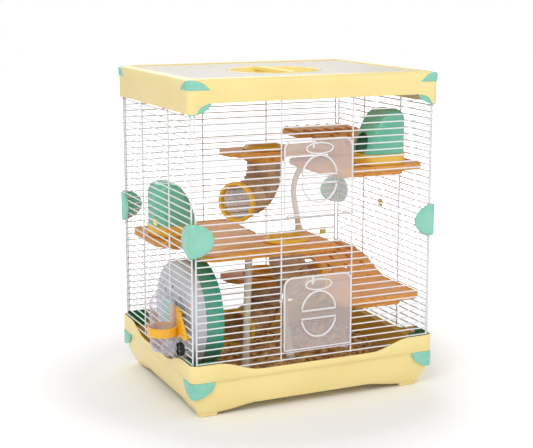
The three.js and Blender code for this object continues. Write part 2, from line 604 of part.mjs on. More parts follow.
const capProfile = [
  [3.4, -3.1], [7.2, -3.1], [7.2, -4.6], [8.8, -4.6], [8.8, 1.2], [8, 2.1], [3.4, 2.1], [3.4, -3.1]];
add('bottle_cap', spin(capProfile, 0), 0x1c1c1e, 0.4);
const spoutProfile = [[1.6, -3], [3, -3], [3, 8], [2.4, 9.5], [1.6, 9.5], [1.6, -3]];
add('bottle_spout', spin(spoutProfile, 0), 0xc8ccd0, 0.2);

const BAND_Z = [104, 116];
const HOLDER_FACE = 1.9; // just outside the wires
const lowProng = LOWER_ROW + 4.5 * PITCH; // between level wires
const highProng = LOWER_ROW + 7.5 * PITCH;
const bandRing = plate(circle(...BOTTLE, BOTTLE_REACH + BOTTLE[0], THREE.Shape), ...BAND_Z, 14);
const backPlate = box(-3, HOLDER_FACE, 40, 76, 100, 140);
const toothedArm = box(-1.4, HOLDER_FACE, 20, 41, ...BAND_Z);
const prongs = [];
for (const [y, z] of [[24, lowProng], [44, lowProng], [70, lowProng], [44, highProng], [70, highProng]]) {
  prongs.push(box(HOLDER_FACE - 1, 8, y - 2, y + 2, z - 2, z + 2));
}
const bottleRoom = plate(circle(...BOTTLE, BOTTLE_RADIUS + GAP, THREE.Shape), 90, 150, 14);
const wireSide = box(HOLDER_FACE, 12, 30, 90, BAND_Z[0] - 10, BAND_Z[1] + 40);
add('bottle_holder', solid(bandRing).subtract(solid(wireSide)).add(solid(backPlate)).add(solid(toothedArm))
  .add(union(...prongs)).subtract(solid(bottleRoom)), 0xf5b828);

export default hamsterCage;
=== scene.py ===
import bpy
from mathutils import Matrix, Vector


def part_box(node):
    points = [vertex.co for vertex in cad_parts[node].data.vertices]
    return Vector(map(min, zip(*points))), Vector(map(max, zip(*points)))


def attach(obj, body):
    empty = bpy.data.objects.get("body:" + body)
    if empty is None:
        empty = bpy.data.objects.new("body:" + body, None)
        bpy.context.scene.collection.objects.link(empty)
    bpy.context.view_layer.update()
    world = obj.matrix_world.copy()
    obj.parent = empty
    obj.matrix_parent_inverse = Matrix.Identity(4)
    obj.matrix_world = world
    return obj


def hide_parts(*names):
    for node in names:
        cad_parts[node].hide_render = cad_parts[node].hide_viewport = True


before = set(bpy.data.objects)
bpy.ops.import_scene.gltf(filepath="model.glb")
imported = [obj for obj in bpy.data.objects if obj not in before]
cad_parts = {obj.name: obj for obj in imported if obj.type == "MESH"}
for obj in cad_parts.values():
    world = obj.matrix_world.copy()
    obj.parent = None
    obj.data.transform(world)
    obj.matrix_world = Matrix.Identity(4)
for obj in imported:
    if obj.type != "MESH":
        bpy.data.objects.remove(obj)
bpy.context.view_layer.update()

import bmesh
import bpy
import numpy as np
from mathutils import Vector

# ---- camera, floor and light ----
# A long lens a little above the cage, turned towards its front left corner, on a pale floor
# under large soft lamps.
scene = bpy.context.scene
scene.view_settings.view_transform = "Standard"
lens = bpy.data.cameras.new("camera")
lens.lens = 81.27
lens.sensor_width = 36
lens.shift_y = -0.05
camera = bpy.data.objects.new("camera", lens)
camera.location = (-0.6738, -1.4969, 0.5513)
camera.rotation_euler = np.radians((90 - 10.176, 0, -24.517))
scene.collection.objects.link(camera)
scene.camera = camera

floor_mesh = bpy.data.meshes.new("floor")
FLOOR_REACH = 6
floor_mesh.from_pydata(
    [(x * FLOOR_REACH, y * FLOOR_REACH, -0.0002) for x, y in ((-1, -1), (1, -1), (1, 1), (-1, 1))], [], [(0, 1, 2, 3)])
floor = bpy.data.objects.new("floor", floor_mesh)
scene.collection.objects.link(floor)
floor_paint = bpy.data.materials.new("floor")
floor_paint.use_nodes = True
floor_shader = floor_paint.node_tree.nodes["Principled BSDF"]
floor_shader.inputs["Base Color"].default_value = (0.93, 0.93, 0.93, 1)
floor_shader.inputs["Roughness"].default_value = 0.9
floor_mesh.materials.append(floor_paint)

room = bpy.data.worlds.new("room")
room.use_nodes = True
room.node_tree.nodes["Background"].inputs["Color"].default_value = (1, 1, 1, 1)
scene.world = room
room_nodes, room_link = room.node_tree.nodes, room.node_tree.links.new
seen = room_nodes.new("ShaderNodeLightPath")
glow = room_nodes.new("ShaderNodeMapRange")
glow.inputs["To Min"].default_value = 0.6
glow.inputs["To Max"].default_value = 1.0
room_link(seen.outputs["Is Camera Ray"], glow.inputs["Value"])
room_link(glow.outputs["Result"], room_nodes["Background"].inputs["Strength"])

# The floor fades into the white of the room away from the cage.
floor_nodes, floor_link = floor_paint.node_tree.nodes, floor_paint.node_tree.links.new
floor_at = floor_nodes.new("ShaderNodeTexCoord")
floor_far = floor_nodes.new("ShaderNodeVectorMath")
floor_far.operation = "LENGTH"
floor_fade = floor_nodes.new("ShaderNodeMapRange")
floor_fade.inputs["From Min"].default_value = 0.25
floor_fade.inputs["From Max"].default_value = 0.8
floor_seen = floor_nodes.new("ShaderNodeLightPath")
floor_white = floor_nodes.new("ShaderNodeMath")
floor_white.operation = "MULTIPLY"
floor_link(floor_at.outputs["Object"], floor_far.inputs[0])
floor_link(floor_far.outputs["Value"], floor_fade.inputs["Value"])
floor_link(floor_fade.outputs["Result"], floor_white.inputs[0])
floor_link(floor_seen.outputs["Is Camera Ray"], floor_white.inputs[1])
floor_link(floor_white.outputs["Value"], floor_shader.inputs["Emission Strength"])
floor_shader.inputs["Emission Color"].default_value = (1, 1, 1, 1)
LAMPS = {"key": ((-1.3, -1.5, 1.7), 1.3, 24), "fill": ((1.7, -1.2, 1.1), 1.6, 9), "back": ((0.4, 1.6, 1.5), 1.4, 12)}
for lamp_name, (spot, width, power) in LAMPS.items():
    light = bpy.data.lights.new(lamp_name, "AREA")
    light.size = width
    light.energy = power
    lamp = bpy.data.objects.new(lamp_name, light)
    lamp.location = spot
    lamp.rotation_euler = (Vector((0, 0, 0.2)) - Vector(spot)).to_track_quat("-Z", "Y").to_euler()
    scene.collection.objects.link(lamp)

# ---- base tray ----
# A deep tub injection-moulded in glossy cream plastic: a tall band stands out round its rim,
# the rim dips between the corners, and four feet hang from a flared skirt.
TRAY_LOW, TRAY_HIGH = (np.array(corner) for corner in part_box("base_tray"))
MM = 0.001
WIDTH = (TRAY_HIGH - TRAY_LOW)[0] / MM
DEPTH = (TRAY_HIGH - TRAY_LOW)[1] / MM
RIM = TRAY_HIGH[2] / MM
RIM_DIP = 14
BAND_FOOT = RIM - 23


def in_cage(points):
    """Millimetres from the tray's front left corner at floor level, turned into the row's metres."""
    return np.asarray(points, float) * MM + np.array([TRAY_LOW[0], TRAY_LOW[1], 0])


def quads(rows, columns, close_rows=False, close_columns=True):
    """Four-cornered faces of a grid of points numbered row by row, wrapped round where it closes."""
    r = np.arange(rows if close_rows else rows - 1)[:, None]
    c = np.arange(columns if close_columns else columns - 1)[None, :]
    r2, c2 = (r + 1) % rows, (c + 1) % columns
    return np.stack([r * columns + c, r * columns + c2, r2 * columns + c2, r2 * columns + c], -1).reshape(-1, 4)


def make_piece(name, points, faces, material, body, slot, crease=35):
    """A mesh object from millimetre points and faces, with doubles merged and faces turned outwards."""
    mesh = bpy.data.meshes.new(name)
    mesh.from_pydata(in_cage(points).tolist(), [], [list(map(int, face)) for face in faces])
    shell = bmesh.new()
    shell.from_mesh(mesh)
    bmesh.ops.remove_doubles(shell, verts=shell.verts, dist=1e-6)
    bmesh.ops.recalc_face_normals(shell, faces=shell.faces)
    shell.to_mesh(mesh)
    shell.free()
    mesh.shade_smooth()
    mesh.set_sharp_from_angle(angle=np.radians(crease))
    mesh.materials.append(material)
    piece = bpy.data.objects.new(name, mesh)
    scene.collection.objects.link(piece)
    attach(piece, body)
    return piece


def rounded_ring(low, high, radius, inset, arc=8, side=10):
    """Points round a rectangle drawn in by the inset, its corners turned with what is left of the radius."""
    r = max(radius - inset, 1.5)
    (x0, y0), (x1, y1) = np.array(low) + inset + r, np.array(high) - inset - r
    corner = np.repeat(np.arange(4), arc + 1)
    step = np.tile(np.arange(arc + 1), 4)
    angle = np.pi / 2 * (corner - 1 + step / arc)
    x = np.array([x1, x1, x0, x0])[corner] + r * np.cos(angle)
    y = np.array([y0, y1, y1, y0])[corner] + r * np.sin(angle)
    at = corner * (arc + side) + step
    whole = np.arange(4 * (arc + side))
    return np.stack([np.interp(whole, at, v, period=4 * (arc + side)) for v in (x, y)], -1)


def ring_skin(rings, low, high, radius, closed, arc=8, side=10):
    """Stacked rings of (inset, height), joined to the first ring again or capped flat at both ends."""
    outer = rounded_ring(low, high, radius, 0, arc, side)
    rows = []
    for inset, height in rings:
        plan = rounded_ring(low, high, radius, inset, arc, side)
        level = height(outer) if callable(height) else np.full(len(outer), height)
        rows.append(np.column_stack([plan, level]))
    count = len(outer)
    faces = quads(len(rows), count, close_rows=closed).tolist()
    if not closed:
        faces += [list(range(count)), list(range(count * (len(rows) - 1), count * len(rows)))]
    return np.concatenate(rows), faces


def smooth(value, low, high):
    """0 below low, 1 above high, and an S curve between."""
    t = np.clip((value - low) / (high - low), 0, 1)
    return t * t * (3 - 2 * t)


def off_corner(outer, start=38, end=96):
    """0 near the footprint's corners, rising to 1 along the middle of each side."""
    x, y = outer[:, 0], outer[:, 1]
    along = np.maximum(np.minimum(x, WIDTH - x), np.minimum(y, DEPTH - y))
    return smooth(along, start, end)


def node_group(name, inputs, outputs):
    """An empty shader node group with the named sockets, its way in and its way out."""
    group = bpy.data.node_groups.new(name, "ShaderNodeTree")
    for label, kind, value in inputs:
        socket = group.interface.new_socket(label, in_out="INPUT", socket_type=kind)
        if value is not None:
            socket.default_value = value
    for label, kind in outputs:
        group.interface.new_socket(label, in_out="OUTPUT", socket_type=kind)
    return group, group.nodes.new("NodeGroupInput"), group.nodes.new("NodeGroupOutput")


FLOAT, COLOUR = "NodeSocketFloat", "NodeSocketColor"


def moulded_group():
    """Moulded plastic: broad cloudy tone between two colours, faint scuffs and a fine orange-peel height."""
    group, start, end = node_group(
        "moulded_surface",
        [("Light", COLOUR, None), ("Deep", COLOUR, None), ("Cloud Scale", FLOAT, 14.0), ("Roughness", FLOAT, 0.35)],
        [("Colour", COLOUR), ("Roughness", FLOAT), ("Height", FLOAT)])
    nodes, link = group.nodes, group.links.new
    where = nodes.new("ShaderNodeTexCoord")
    cloud = nodes.new("ShaderNodeTexNoise")
    cloud.inputs["Detail"].default_value = 4
    link(where.outputs["Object"], cloud.inputs["Vector"])
    link(start.outputs["Cloud Scale"], cloud.inputs["Scale"])
    tone = nodes.new("ShaderNodeMapRange")
    tone.inputs["From Min"].default_value = 0.35
    tone.inputs["From Max"].default_value = 0.68
    link(cloud.outputs["Fac"], tone.inputs["Value"])
    mix = nodes.new("ShaderNodeMix")
    mix.data_type = "RGBA"
    link(tone.outputs["Result"], mix.inputs["Factor"])
    link(start.outputs["Light"], mix.inputs["A"])
    link(start.outputs["Deep"], mix.inputs["B"])
    link(mix.outputs["Result"], end.inputs["Colour"])
    scuff = nodes.new("ShaderNodeTexNoise")
    scuff.inputs["Scale"].default_value = 60
    scuff.inputs["Detail"].default_value = 8
    link(where.outputs["Object"], scuff.inputs["Vector"])
    spread = nodes.new("ShaderNodeMath")
    spread.operation = "MULTIPLY_ADD"
    spread.inputs[1].default_value = 0.16
    link(scuff.outputs["Fac"], spread.inputs[0])
    link(start.outputs["Roughness"], spread.inputs[2])
    link(spread.outputs["Value"], end.inputs["Roughness"])
    peel = nodes.new("ShaderNodeTexNoise")
    peel.inputs["Scale"].default_value = 700
    link(where.outputs["Object"], peel.inputs["Vector"])
    link(peel.outputs["Fac"], end.inputs["Height"])
    return group


MOULDED = moulded_group()


def moulded(name, light, deep, roughness=0.3, cloud=14.0, bump=0.04, alpha=1.0, see_through=0.0, coat=0.0):
    """A glossy moulded plastic in two close tones, solid or partly see-through."""
    material = bpy.data.materials.new(name)
    material.use_nodes = True
    nodes, link = material.node_tree.nodes, material.node_tree.links.new
    shader = nodes["Principled BSDF"]
    surface = nodes.new("ShaderNodeGroup")
    surface.node_tree = MOULDED
    surface.inputs["Light"].default_value = (*light, 1)
    surface.inputs["Deep"].default_value = (*deep, 1)
    surface.inputs["Cloud Scale"].default_value = cloud
    surface.inputs["Roughness"].default_value = roughness - 0.08
    link(surface.outputs["Colour"], shader.inputs["Base Color"])
    link(surface.outputs["Roughness"], shader.inputs["Roughness"])
    relief = nodes.new("ShaderNodeBump")
    relief.inputs["Strength"].default_value = bump
    relief.inputs["Distance"].default_value = 0.0005
    link(surface.outputs["Height"], relief.inputs["Height"])
    link(relief.outputs["Normal"], shader.inputs["Normal"])
    shader.inputs["Alpha"].default_value = alpha
    shader.inputs["Coat Weight"].default_value = coat
    shader.inputs["Subsurface Weight"].default_value = see_through
    shader.inputs["Subsurface Scale"].default_value = 0.004
    return material


cream = moulded("cream_plastic", (0.95, 0.78, 0.345), (0.92, 0.735, 0.30), 0.32, coat=0.15)


def rim_top(outer):
    return RIM - RIM_DIP * off_corner(outer)


def skirt_foot(outer):
    return 5 + 7 * off_corner(outer, 30, 110)


TRAY_RINGS = [
    (24, 13), (20.5, skirt_foot), (19.5, lambda p: skirt_foot(p) - 0.6), (16, lambda p: skirt_foot(p) - 0.6),
    (15, skirt_foot), (12, 12), (9.5, 17), (7, 23), (5.2, 31), (4, 38), (3.3, 44), (2.9, BAND_FOOT - 0.8),
    (2.6, BAND_FOOT), (0.6, BAND_FOOT), (0, BAND_FOOT + 0.8), (0, lambda p: rim_top(p) - 0.9),
    (0.3, rim_top), (1.4, rim_top), (1.6, lambda p: rim_top(p) - 0.6), (1.7, 58.5), (4.6, 56), (5.2, 44), (7, 31),
    (11, 19), (20, 15)]
tray_points, tray_faces = ring_skin(TRAY_RINGS, (0, 0), (WIDTH, DEPTH), 10, closed=False, arc=10, side=34)
tray = make_piece("tray", tray_points, tray_faces, cream, "cage", "cream_plastic", 40)
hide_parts("base_tray")
# Painted shade: the inward-facing walls above the bedding get a deeper, darker gold copy of the cream plastic, for the
# shade inside the tub.
tray.data.materials.append(moulded("tray_inside_painted_shade", (0.78, 0.53, 0.10), (0.72, 0.47, 0.07), 0.35))
for wall in tray.data.polygons:
    outward = (wall.center - Vector(in_cage((WIDTH / 2, DEPTH / 2, 0)))) * Vector((1, 1, 0))
    wall.material_index = int(wall.normal.dot(outward) < -0.05 * outward.length and wall.center.z > 0.014)

FOOT_LENGTH, FOOT_WIDTH, FOOT_INSET = 27, 16, 16
for i, (fx, fy) in enumerate([(0, 0), (1, 0), (0, 1), (1, 1)]):
    low = np.array([FOOT_INSET + fx * (WIDTH - 2 * FOOT_INSET - FOOT_LENGTH),
                    FOOT_INSET + fy * (DEPTH - 2 * FOOT_INSET - FOOT_WIDTH)])
    foot_points, foot_faces = ring_skin(
        [(2.2, 0), (1.2, 0.3), (0.6, 1.2), (0, 13.2), (1, 13.4)], low, low + (FOOT_LENGTH, FOOT_WIDTH), 4, closed=False,
        arc=5, side=2)
    make_piece(f"foot_{i}", foot_points, foot_faces, cream, "cage", "cream_plastic")

# ---- bedding ----
# A loose layer of wood shavings in the tray: a lumpy bed with curled chips thrown over it.
BED_INSET, BED_TOP = 15.0, 30.0
draw = np.random.default_rng(7)


def bed_height(x, y):
    """A few crossed waves of different lengths: gentle heaps about 4 mm high."""
    return BED_TOP - 2.5 + 2.2 * np.sin(x / 23 + 1.3 * np.sin(y / 31)) + 1.8 * np.cos(y / 19 + x / 47)


def shavings_material():
    """Chips from pale to dark brown by their place, with a fibrous fine grain."""
    material = bpy.data.materials.new("shavings")
    material.use_nodes = True
    nodes, link = material.node_tree.nodes, material.node_tree.links.new
    where = nodes.new("ShaderNodeTexCoord")
    chips = nodes.new("ShaderNodeTexVoronoi")
    chips.inputs["Scale"].default_value = 160
    ramp = nodes.new("ShaderNodeValToRGB")
    ramp.color_ramp.elements[0].color = (0.20, 0.09, 0.02, 1)
    ramp.color_ramp.elements[1].color = (0.86, 0.57, 0.22, 1)
    middle = ramp.color_ramp.elements.new(0.5)
    middle.color = (0.58, 0.32, 0.09, 1)
    fibre = nodes.new("ShaderNodeTexNoise")
    fibre.inputs["Scale"].default_value = 420
    relief = nodes.new("ShaderNodeBump")
    relief.inputs["Distance"].default_value = 0.001
    relief.inputs["Strength"].default_value = 0.6
    link(where.outputs["Object"], chips.inputs["Vector"])
    link(where.outputs["Object"], fibre.inputs["Vector"])
    link(chips.outputs["Color"], ramp.inputs["Fac"])
    link(ramp.outputs["Color"], nodes["Principled BSDF"].inputs["Base Color"])
    link(fibre.outputs["Fac"], relief.inputs["Height"])
    link(relief.outputs["Normal"], nodes["Principled BSDF"].inputs["Normal"])
    nodes["Principled BSDF"].inputs["Roughness"].default_value = 0.85
    return material


shavings = shavings_material()
bed_x, bed_y = np.meshgrid(np.linspace(BED_INSET, WIDTH - BED_INSET, 90), np.linspace(BED_INSET, DEPTH - BED_INSET, 70))
bed_z = bed_height(bed_x, bed_y) + draw.normal(0, 0.5, bed_x.shape)
bed_top = np.stack([bed_x, bed_y, bed_z], -1).reshape(-1, 3)
bed_floor = bed_top * (1, 1, 0) + (0, 0, 19)
bed_count = len(bed_top)
bed_grid = quads(70, 90, close_columns=False)
edge = np.concatenate([np.arange(90), np.arange(1, 70) * 90 + 89, 69 * 90 + np.arange(88, -1, -1),
                       np.arange(68, 0, -1) * 90])
bed_sides = np.stack([edge, np.roll(edge, -1), np.roll(edge, -1) + bed_count, edge + bed_count], -1)
bed = make_piece("bedding_bed", np.concatenate([bed_top, bed_floor]),
                 np.concatenate([bed_grid, bed_grid[:, ::-1] + bed_count, bed_sides]), shavings, "cage", "bedding", 80)
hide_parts("bedding")

CHIPS = 2600
chip_at = np.column_stack([draw.uniform(20, WIDTH - 20, CHIPS), draw.uniform(20, DEPTH - 20, CHIPS)])
turn = draw.uniform(0, 2 * np.pi, CHIPS)
length, breadth, lift = draw.uniform(2.5, 7, CHIPS), draw.uniform(1.5, 3.5, CHIPS), draw.uniform(0.3, 2.4, CHIPS)
across = np.linspace(-0.5, 0.5, 4)
strip = np.stack(np.meshgrid(across, (-0.5, 0.5)), -1).reshape(-1, 2)
chip_u = strip[None, :, 0] * length[:, None]
chip_v = strip[None, :, 1] * breadth[:, None]
chip_points = np.stack([
    chip_at[:, :1] + chip_u * np.cos(turn)[:, None] - chip_v * np.sin(turn)[:, None],
    chip_at[:, 1:] + chip_u * np.sin(turn)[:, None] + chip_v * np.cos(turn)[:, None],
    bed_height(chip_at[:, :1], chip_at[:, 1:]) + 0.6 + lift[:, None] * (1 - 4 * strip[None, :, 0] ** 2)
    + strip[None, :, 1] * draw.uniform(-2, 2, CHIPS)[:, None]], -1)
chip_faces = (quads(2, 4, close_columns=False)[None] + 8 * np.arange(CHIPS)[:, None, None]).reshape(-1, 4)
make_piece("bedding_chips", chip_points.reshape(-1, 3), chip_faces, shavings, "cage", "bedding", 80)

# ---- corner clips ----
# Round discs of pearly blue-green plastic folded round each corner: half discs on the tray,
# whole ones where the storeys meet, and split ones that hold the lid.
teal = moulded("teal_plastic", (0.30, 0.66, 0.52), (0.20, 0.58, 0.44), 0.26, cloud=30, see_through=0.1, coat=0.2)
CORNERS = {"fl": (1, 1), "fr": (-1, 1), "bl": (1, -1), "br": (-1, -1)}
CLIP_RADIUS, FOLD = 21.7, 9.0


def folded(s, z, offset):
    """Distance s from the corner's fold, height and depth below the outer faces, bent round the corner."""
    half = FOLD * np.pi / 4
    bend = np.clip(s, -half, half) / FOLD
    beyond = s - np.clip(s, -half, half)
    r = FOLD - offset
    x = FOLD - r * np.cos(np.pi / 4 + bend) + np.maximum(beyond, 0)
    y = FOLD - r * np.sin(np.pi / 4 + bend) - np.minimum(beyond, 0)
    x, y = np.where(beyond < 0, offset, x), np.where(beyond > 0, offset, y)
    return np.stack([x, y, np.broadcast_to(z, x.shape)], -1)


def clip_shell(z0, z1, centre, face, back, dome):
    """A slice of a folded disc between two heights: domed face, rounded edge and flat back, as one shell."""
    rows, columns = 26, 44
    turn = np.linspace(0, np.pi, rows)[:, None]
    z = z0 + (z1 - z0) * (1 - np.cos(turn)) / 2
    u = np.sin(np.linspace(-np.pi / 2, np.pi / 2, columns))[None, :]
    half = np.sqrt(np.clip(CLIP_RADIUS**2 - (z - centre) ** 2, 0.01, None)) * np.sqrt(2)
    s = u * half
    z = np.broadcast_to(z, s.shape)
    to_edge = np.minimum(CLIP_RADIUS - np.hypot(s / np.sqrt(2), z - centre), np.minimum(z - z0, z1 - z) + 0.4)
    swell = np.sqrt(np.clip(1 - (1 - np.clip(to_edge / 3.0, 0, 1)) ** 2, 0, 1))
    outer = folded(s, z, back - 0.6 - (back - 0.6 - face + dome) * swell)
    inner = folded(s, z, np.full(s.shape, back))
    count = rows * columns
    grid = quads(rows, columns, close_columns=False)
    edge = np.concatenate([
        np.arange(columns), np.arange(1, rows) * columns + columns - 1,
        (rows - 1) * columns + np.arange(columns - 2, -1, -1), np.arange(rows - 2, 0, -1) * columns])
    sides = np.stack([edge, np.roll(edge, -1), np.roll(edge, -1) + count, edge + count], -1)
    points = np.concatenate([outer.reshape(-1, 3), inner.reshape(-1, 3)])
    return points, np.concatenate([grid, grid[:, ::-1] + count, sides])


def to_corner(points, side):
    """Points drawn at the front left corner, mirrored to another corner."""
    mirrored = points.copy()
    if side[0] < 0:
        mirrored[:, 0] = WIDTH - mirrored[:, 0]
    if side[1] < 0:
        mirrored[:, 1] = DEPTH - mirrored[:, 1]
    return mirrored


TOP_CLIP, MIDDLE_CLIP = 412.0, 234.5
CLIPS = {
    "bottom": [("cage", BAND_FOOT - CLIP_RADIUS, BAND_FOOT - 0.3, BAND_FOOT, 0.1, 2.4)],
    "middle": [("cage", MIDDLE_CLIP - CLIP_RADIUS, MIDDLE_CLIP + CLIP_RADIUS, MIDDLE_CLIP, -0.3, 2.1)],
    "top": [("lid", 421.0, TOP_CLIP + CLIP_RADIUS, TOP_CLIP, -0.5, 2.2),
            ("lid", TOP_CLIP - CLIP_RADIUS, 405.0, TOP_CLIP, 1.45, 2.2)]}
for corner, side in CORNERS.items():
    for level, slices in CLIPS.items():
        for i, (body, z0, z1, centre, face, back) in enumerate(slices):
            shell_points, shell_faces = clip_shell(z0, z1, centre, face, back, 0.5)
            clip = make_piece(f"clip_{level}_{corner}_{i}", to_corner(shell_points, side), shell_faces, teal, body,
                              "teal_plastic", 50)
            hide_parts(f"corner_clip_{level}_{corner}")

# ---- wire panels ----
# White coated steel: thin level wires welded across a few uprights, with a wire frame round
# each door opening.
PITCH, WIRE_R, UPRIGHT_R, PANEL_INSET = 8.97, 0.95, 1.15, 3.5
FRONT_UPRIGHT, SIDE_UPRIGHT, WIRE_EDGE = 126.4, 89.5, 9.0
LOWER_ROW, UPPER_ROW = 66.2, 236.0
STOREYS = {"lower": (LOWER_ROW, 19, 1), "upper": (UPPER_ROW, 20, 2)}
DOOR_ROWS = 11


def rods(starts, ends, radius, sides=8):
    """Straight round rods between two lists of points, with flat ends."""
    a, b = np.asarray(starts, float), np.asarray(ends, float)
    along = (b - a) / np.linalg.norm(b - a, axis=1, keepdims=True)
    seed = np.where(np.abs(along[:, 2:]) > 0.9, [[1.0, 0, 0]], [[0, 0, 1.0]])
    side = np.cross(along, seed)
    side /= np.linalg.norm(side, axis=1, keepdims=True)
    other = np.cross(along, side)
    angle = np.linspace(0, 2 * np.pi, sides, endpoint=False)[None, :, None]
    ring = radius * (np.cos(angle) * side[:, None] + np.sin(angle) * other[:, None])
    points = np.concatenate([a[:, None] + ring, b[:, None] + ring], 1)
    base = 2 * sides * np.arange(len(a))[:, None, None]
    walls = (quads(2, sides)[None] + base).reshape(-1, 4).tolist()
    caps = np.concatenate([np.arange(sides)[None, ::-1], np.arange(sides, 2 * sides)[None]])[None] + base
    return points.reshape(-1, 3), walls + caps.reshape(-1, sides).tolist()


def joined(*parts):
    """Several (points, faces) pairs as one."""
    points, faces, count = [], [], 0
    for part_points, part_faces in parts:
        points.append(part_points)
        faces += [[int(i) + count for i in face] for face in part_faces]
        count += len(part_points)
    return np.concatenate(points), faces


wire_paint = moulded("white_wire", (0.86, 0.87, 0.89), (0.80, 0.81, 0.84), 0.3, cloud=60)


def panel_wires(length, uprights, storey, has_door, to_face):
    """Level wires in front, uprights behind them; to_face puts (along, depth, height) on a face."""
    lowest, rows, door_row = STOREYS[storey]
    starts, ends = [], []
    for row in range(rows):
        z = lowest + row * PITCH
        spans = [(WIRE_EDGE - 1, length - WIRE_EDGE + 1)]
        if has_door and door_row < row < door_row + DOOR_ROWS:
            spans = [(WIRE_EDGE - 1, uprights[1]), (uprights[2], length - WIRE_EDGE + 1)]
        starts += [(low, PANEL_INSET, z) for low, _ in spans]
        ends += [(high, PANEL_INSET, z) for _, high in spans]
    level = rods(to_face(np.array(starts)), to_face(np.array(ends)), WIRE_R)
    behind = PANEL_INSET + WIRE_R + UPRIGHT_R - 0.35
    posts = [(x, behind, lowest - 2) for x in uprights]
    tops = [(x, behind, lowest + (rows - 1) * PITCH + 1.5) for x in uprights]
    return joined(level, rods(to_face(np.array(posts)), to_face(np.array(tops)), UPRIGHT_R))


FACES = {
    "front": (WIDTH, FRONT_UPRIGHT, lambda p: p),
    "back": (WIDTH, FRONT_UPRIGHT, lambda p: p * (1, -1, 1) + (0, DEPTH, 0)),
    "left": (DEPTH, SIDE_UPRIGHT, lambda p: p[:, [1, 0, 2]]),
    "right": (DEPTH, SIDE_UPRIGHT, lambda p: p[:, [1, 0, 2]] * (-1, 1, 1) + (WIDTH, 0, 0))}
for storey in STOREYS:
    for face, (length_of, upright, to_face) in FACES.items():
        posts = [WIRE_EDGE, upright, length_of - upright, length_of - WIRE_EDGE]
        wires = make_piece(f"wires_{face}_{storey}", *panel_wires(length_of, posts, storey, face == "front", to_face),
                           wire_paint, "cage", "white_wire", 50)
        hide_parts(f"panel_{face}_{storey}")

# ---- doors ----
# Clear rigid plastic plates hooked on a level wire, with a thick rim, a round finger grip
# split by a bar, and an oval latch with a pin at the top.
clear = moulded("clear_plastic", (0.86, 0.82, 0.82), (0.80, 0.76, 0.77), 0.16, alpha=0.26, coat=0.3)
clear_edge = moulded("clear_plastic_edge", (0.93, 0.91, 0.91), (0.88, 0.85, 0.86), 0.2, alpha=0.85, coat=0.2)


def tube_along(path, radius, sides=10, closed=False, squash=1.0):
    """A round rod carried along a path of points; radius may change from point to point."""
    path = np.asarray(path, float)
    step = np.roll(path, -1, 0) - np.roll(path, 1, 0)
    if not closed:
        step[0], step[-1] = path[1] - path[0], path[-1] - path[-2]
    along = step / np.linalg.norm(step, axis=1, keepdims=True)
    side = np.zeros_like(path)
    seed = np.array([0, 0, 1.0]) if abs(along[0, 2]) < 0.9 else np.array([1.0, 0, 0])
    for i, tangent in enumerate(along):
        seed = seed - tangent * seed.dot(tangent)
        seed /= np.linalg.norm(seed)
        side[i] = seed
    other = np.cross(along, side)
    angle = np.linspace(0, 2 * np.pi, sides, endpoint=False)[None, :, None]
    r = np.broadcast_to(radius, len(path))[:, None, None]
    ring = r * (np.cos(angle) * side[:, None] + squash * np.sin(angle) * other[:, None])
    points = (path[:, None] + ring).reshape(-1, 3)
    faces = quads(len(path), sides, close_rows=closed).tolist()
    if not closed:
        faces += [list(range(sides))[::-1], list(range(len(points) - sides, len(points)))]
    return points, faces


def arc(cx, cz, rx, rz, start, end, y, count=18):
    """Points on an upright ellipse facing the front, between two angles in degrees."""
    t = np.radians(np.linspace(start, end, count))
    return np.column_stack([cx + rx * np.cos(t), np.full(count, y), cz + rz * np.sin(t)])


def repaint(node, material):
    """Gives a CAD node that stays visible its material."""
    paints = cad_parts[node].data.materials
    paints.clear()
    paints.append(material)


DOOR_LEFT, DOOR_RIGHT, DOOR_RADIUS = 127.6, 227.4, 13.0
for storey, (lowest, _, door_row) in STOREYS.items():
    hinge = lowest + door_row * PITCH
    z0, z1 = hinge + 2.5, hinge + 101
    middle_x, middle_z = (DOOR_LEFT + DOOR_RIGHT) / 2 + 1, hinge + 48.5
    outline = np.concatenate([
        [(DOOR_LEFT + 1.4, 0.9, z0 + 1), (DOOR_RIGHT - 1.4, 0.9, z0 + 1)],
        arc(DOOR_RIGHT - DOOR_RADIUS, z1 - DOOR_RADIUS, DOOR_RADIUS - 1.4, DOOR_RADIUS - 1.4, 0, 90, 0.9, 9),
        arc(DOOR_LEFT + DOOR_RADIUS, z1 - DOOR_RADIUS, DOOR_RADIUS - 1.4, DOOR_RADIUS - 1.4, 90, 180, 0.9, 9)])
    half_up = arc(middle_x, middle_z + 2.5, 25, 28, 6, 174, 0.9, 24)
    half_down = arc(middle_x, middle_z - 2.5, 25, 28, 186, 354, 0.9, 24)
    latch = arc(middle_x, z1 - 13, 19, 7, 0, 360, 0.9, 33)[:-1]
    pin = rods([(middle_x - 9, 0.6, z1 - 12)], [(middle_x - 9, 0.6, z1 - 3)], 1.6, 12)
    make_piece(f"{storey}_door_trim", *joined(
        tube_along(outline, 1.35, closed=True), tube_along(half_up, 1.4, closed=True),
        tube_along(half_down, 1.4, closed=True), tube_along(latch, 1.1, closed=True), pin),
        clear_edge, f"{storey}_door", "clear_plastic", 60)
    repaint(f"{storey}_door", clear)

# ---- shelves and decks ----
# Flat boards moulded in orange-brown plastic with a raised wood grain, rounded like slabs cut
# from a log; their lips hook over the level wires.


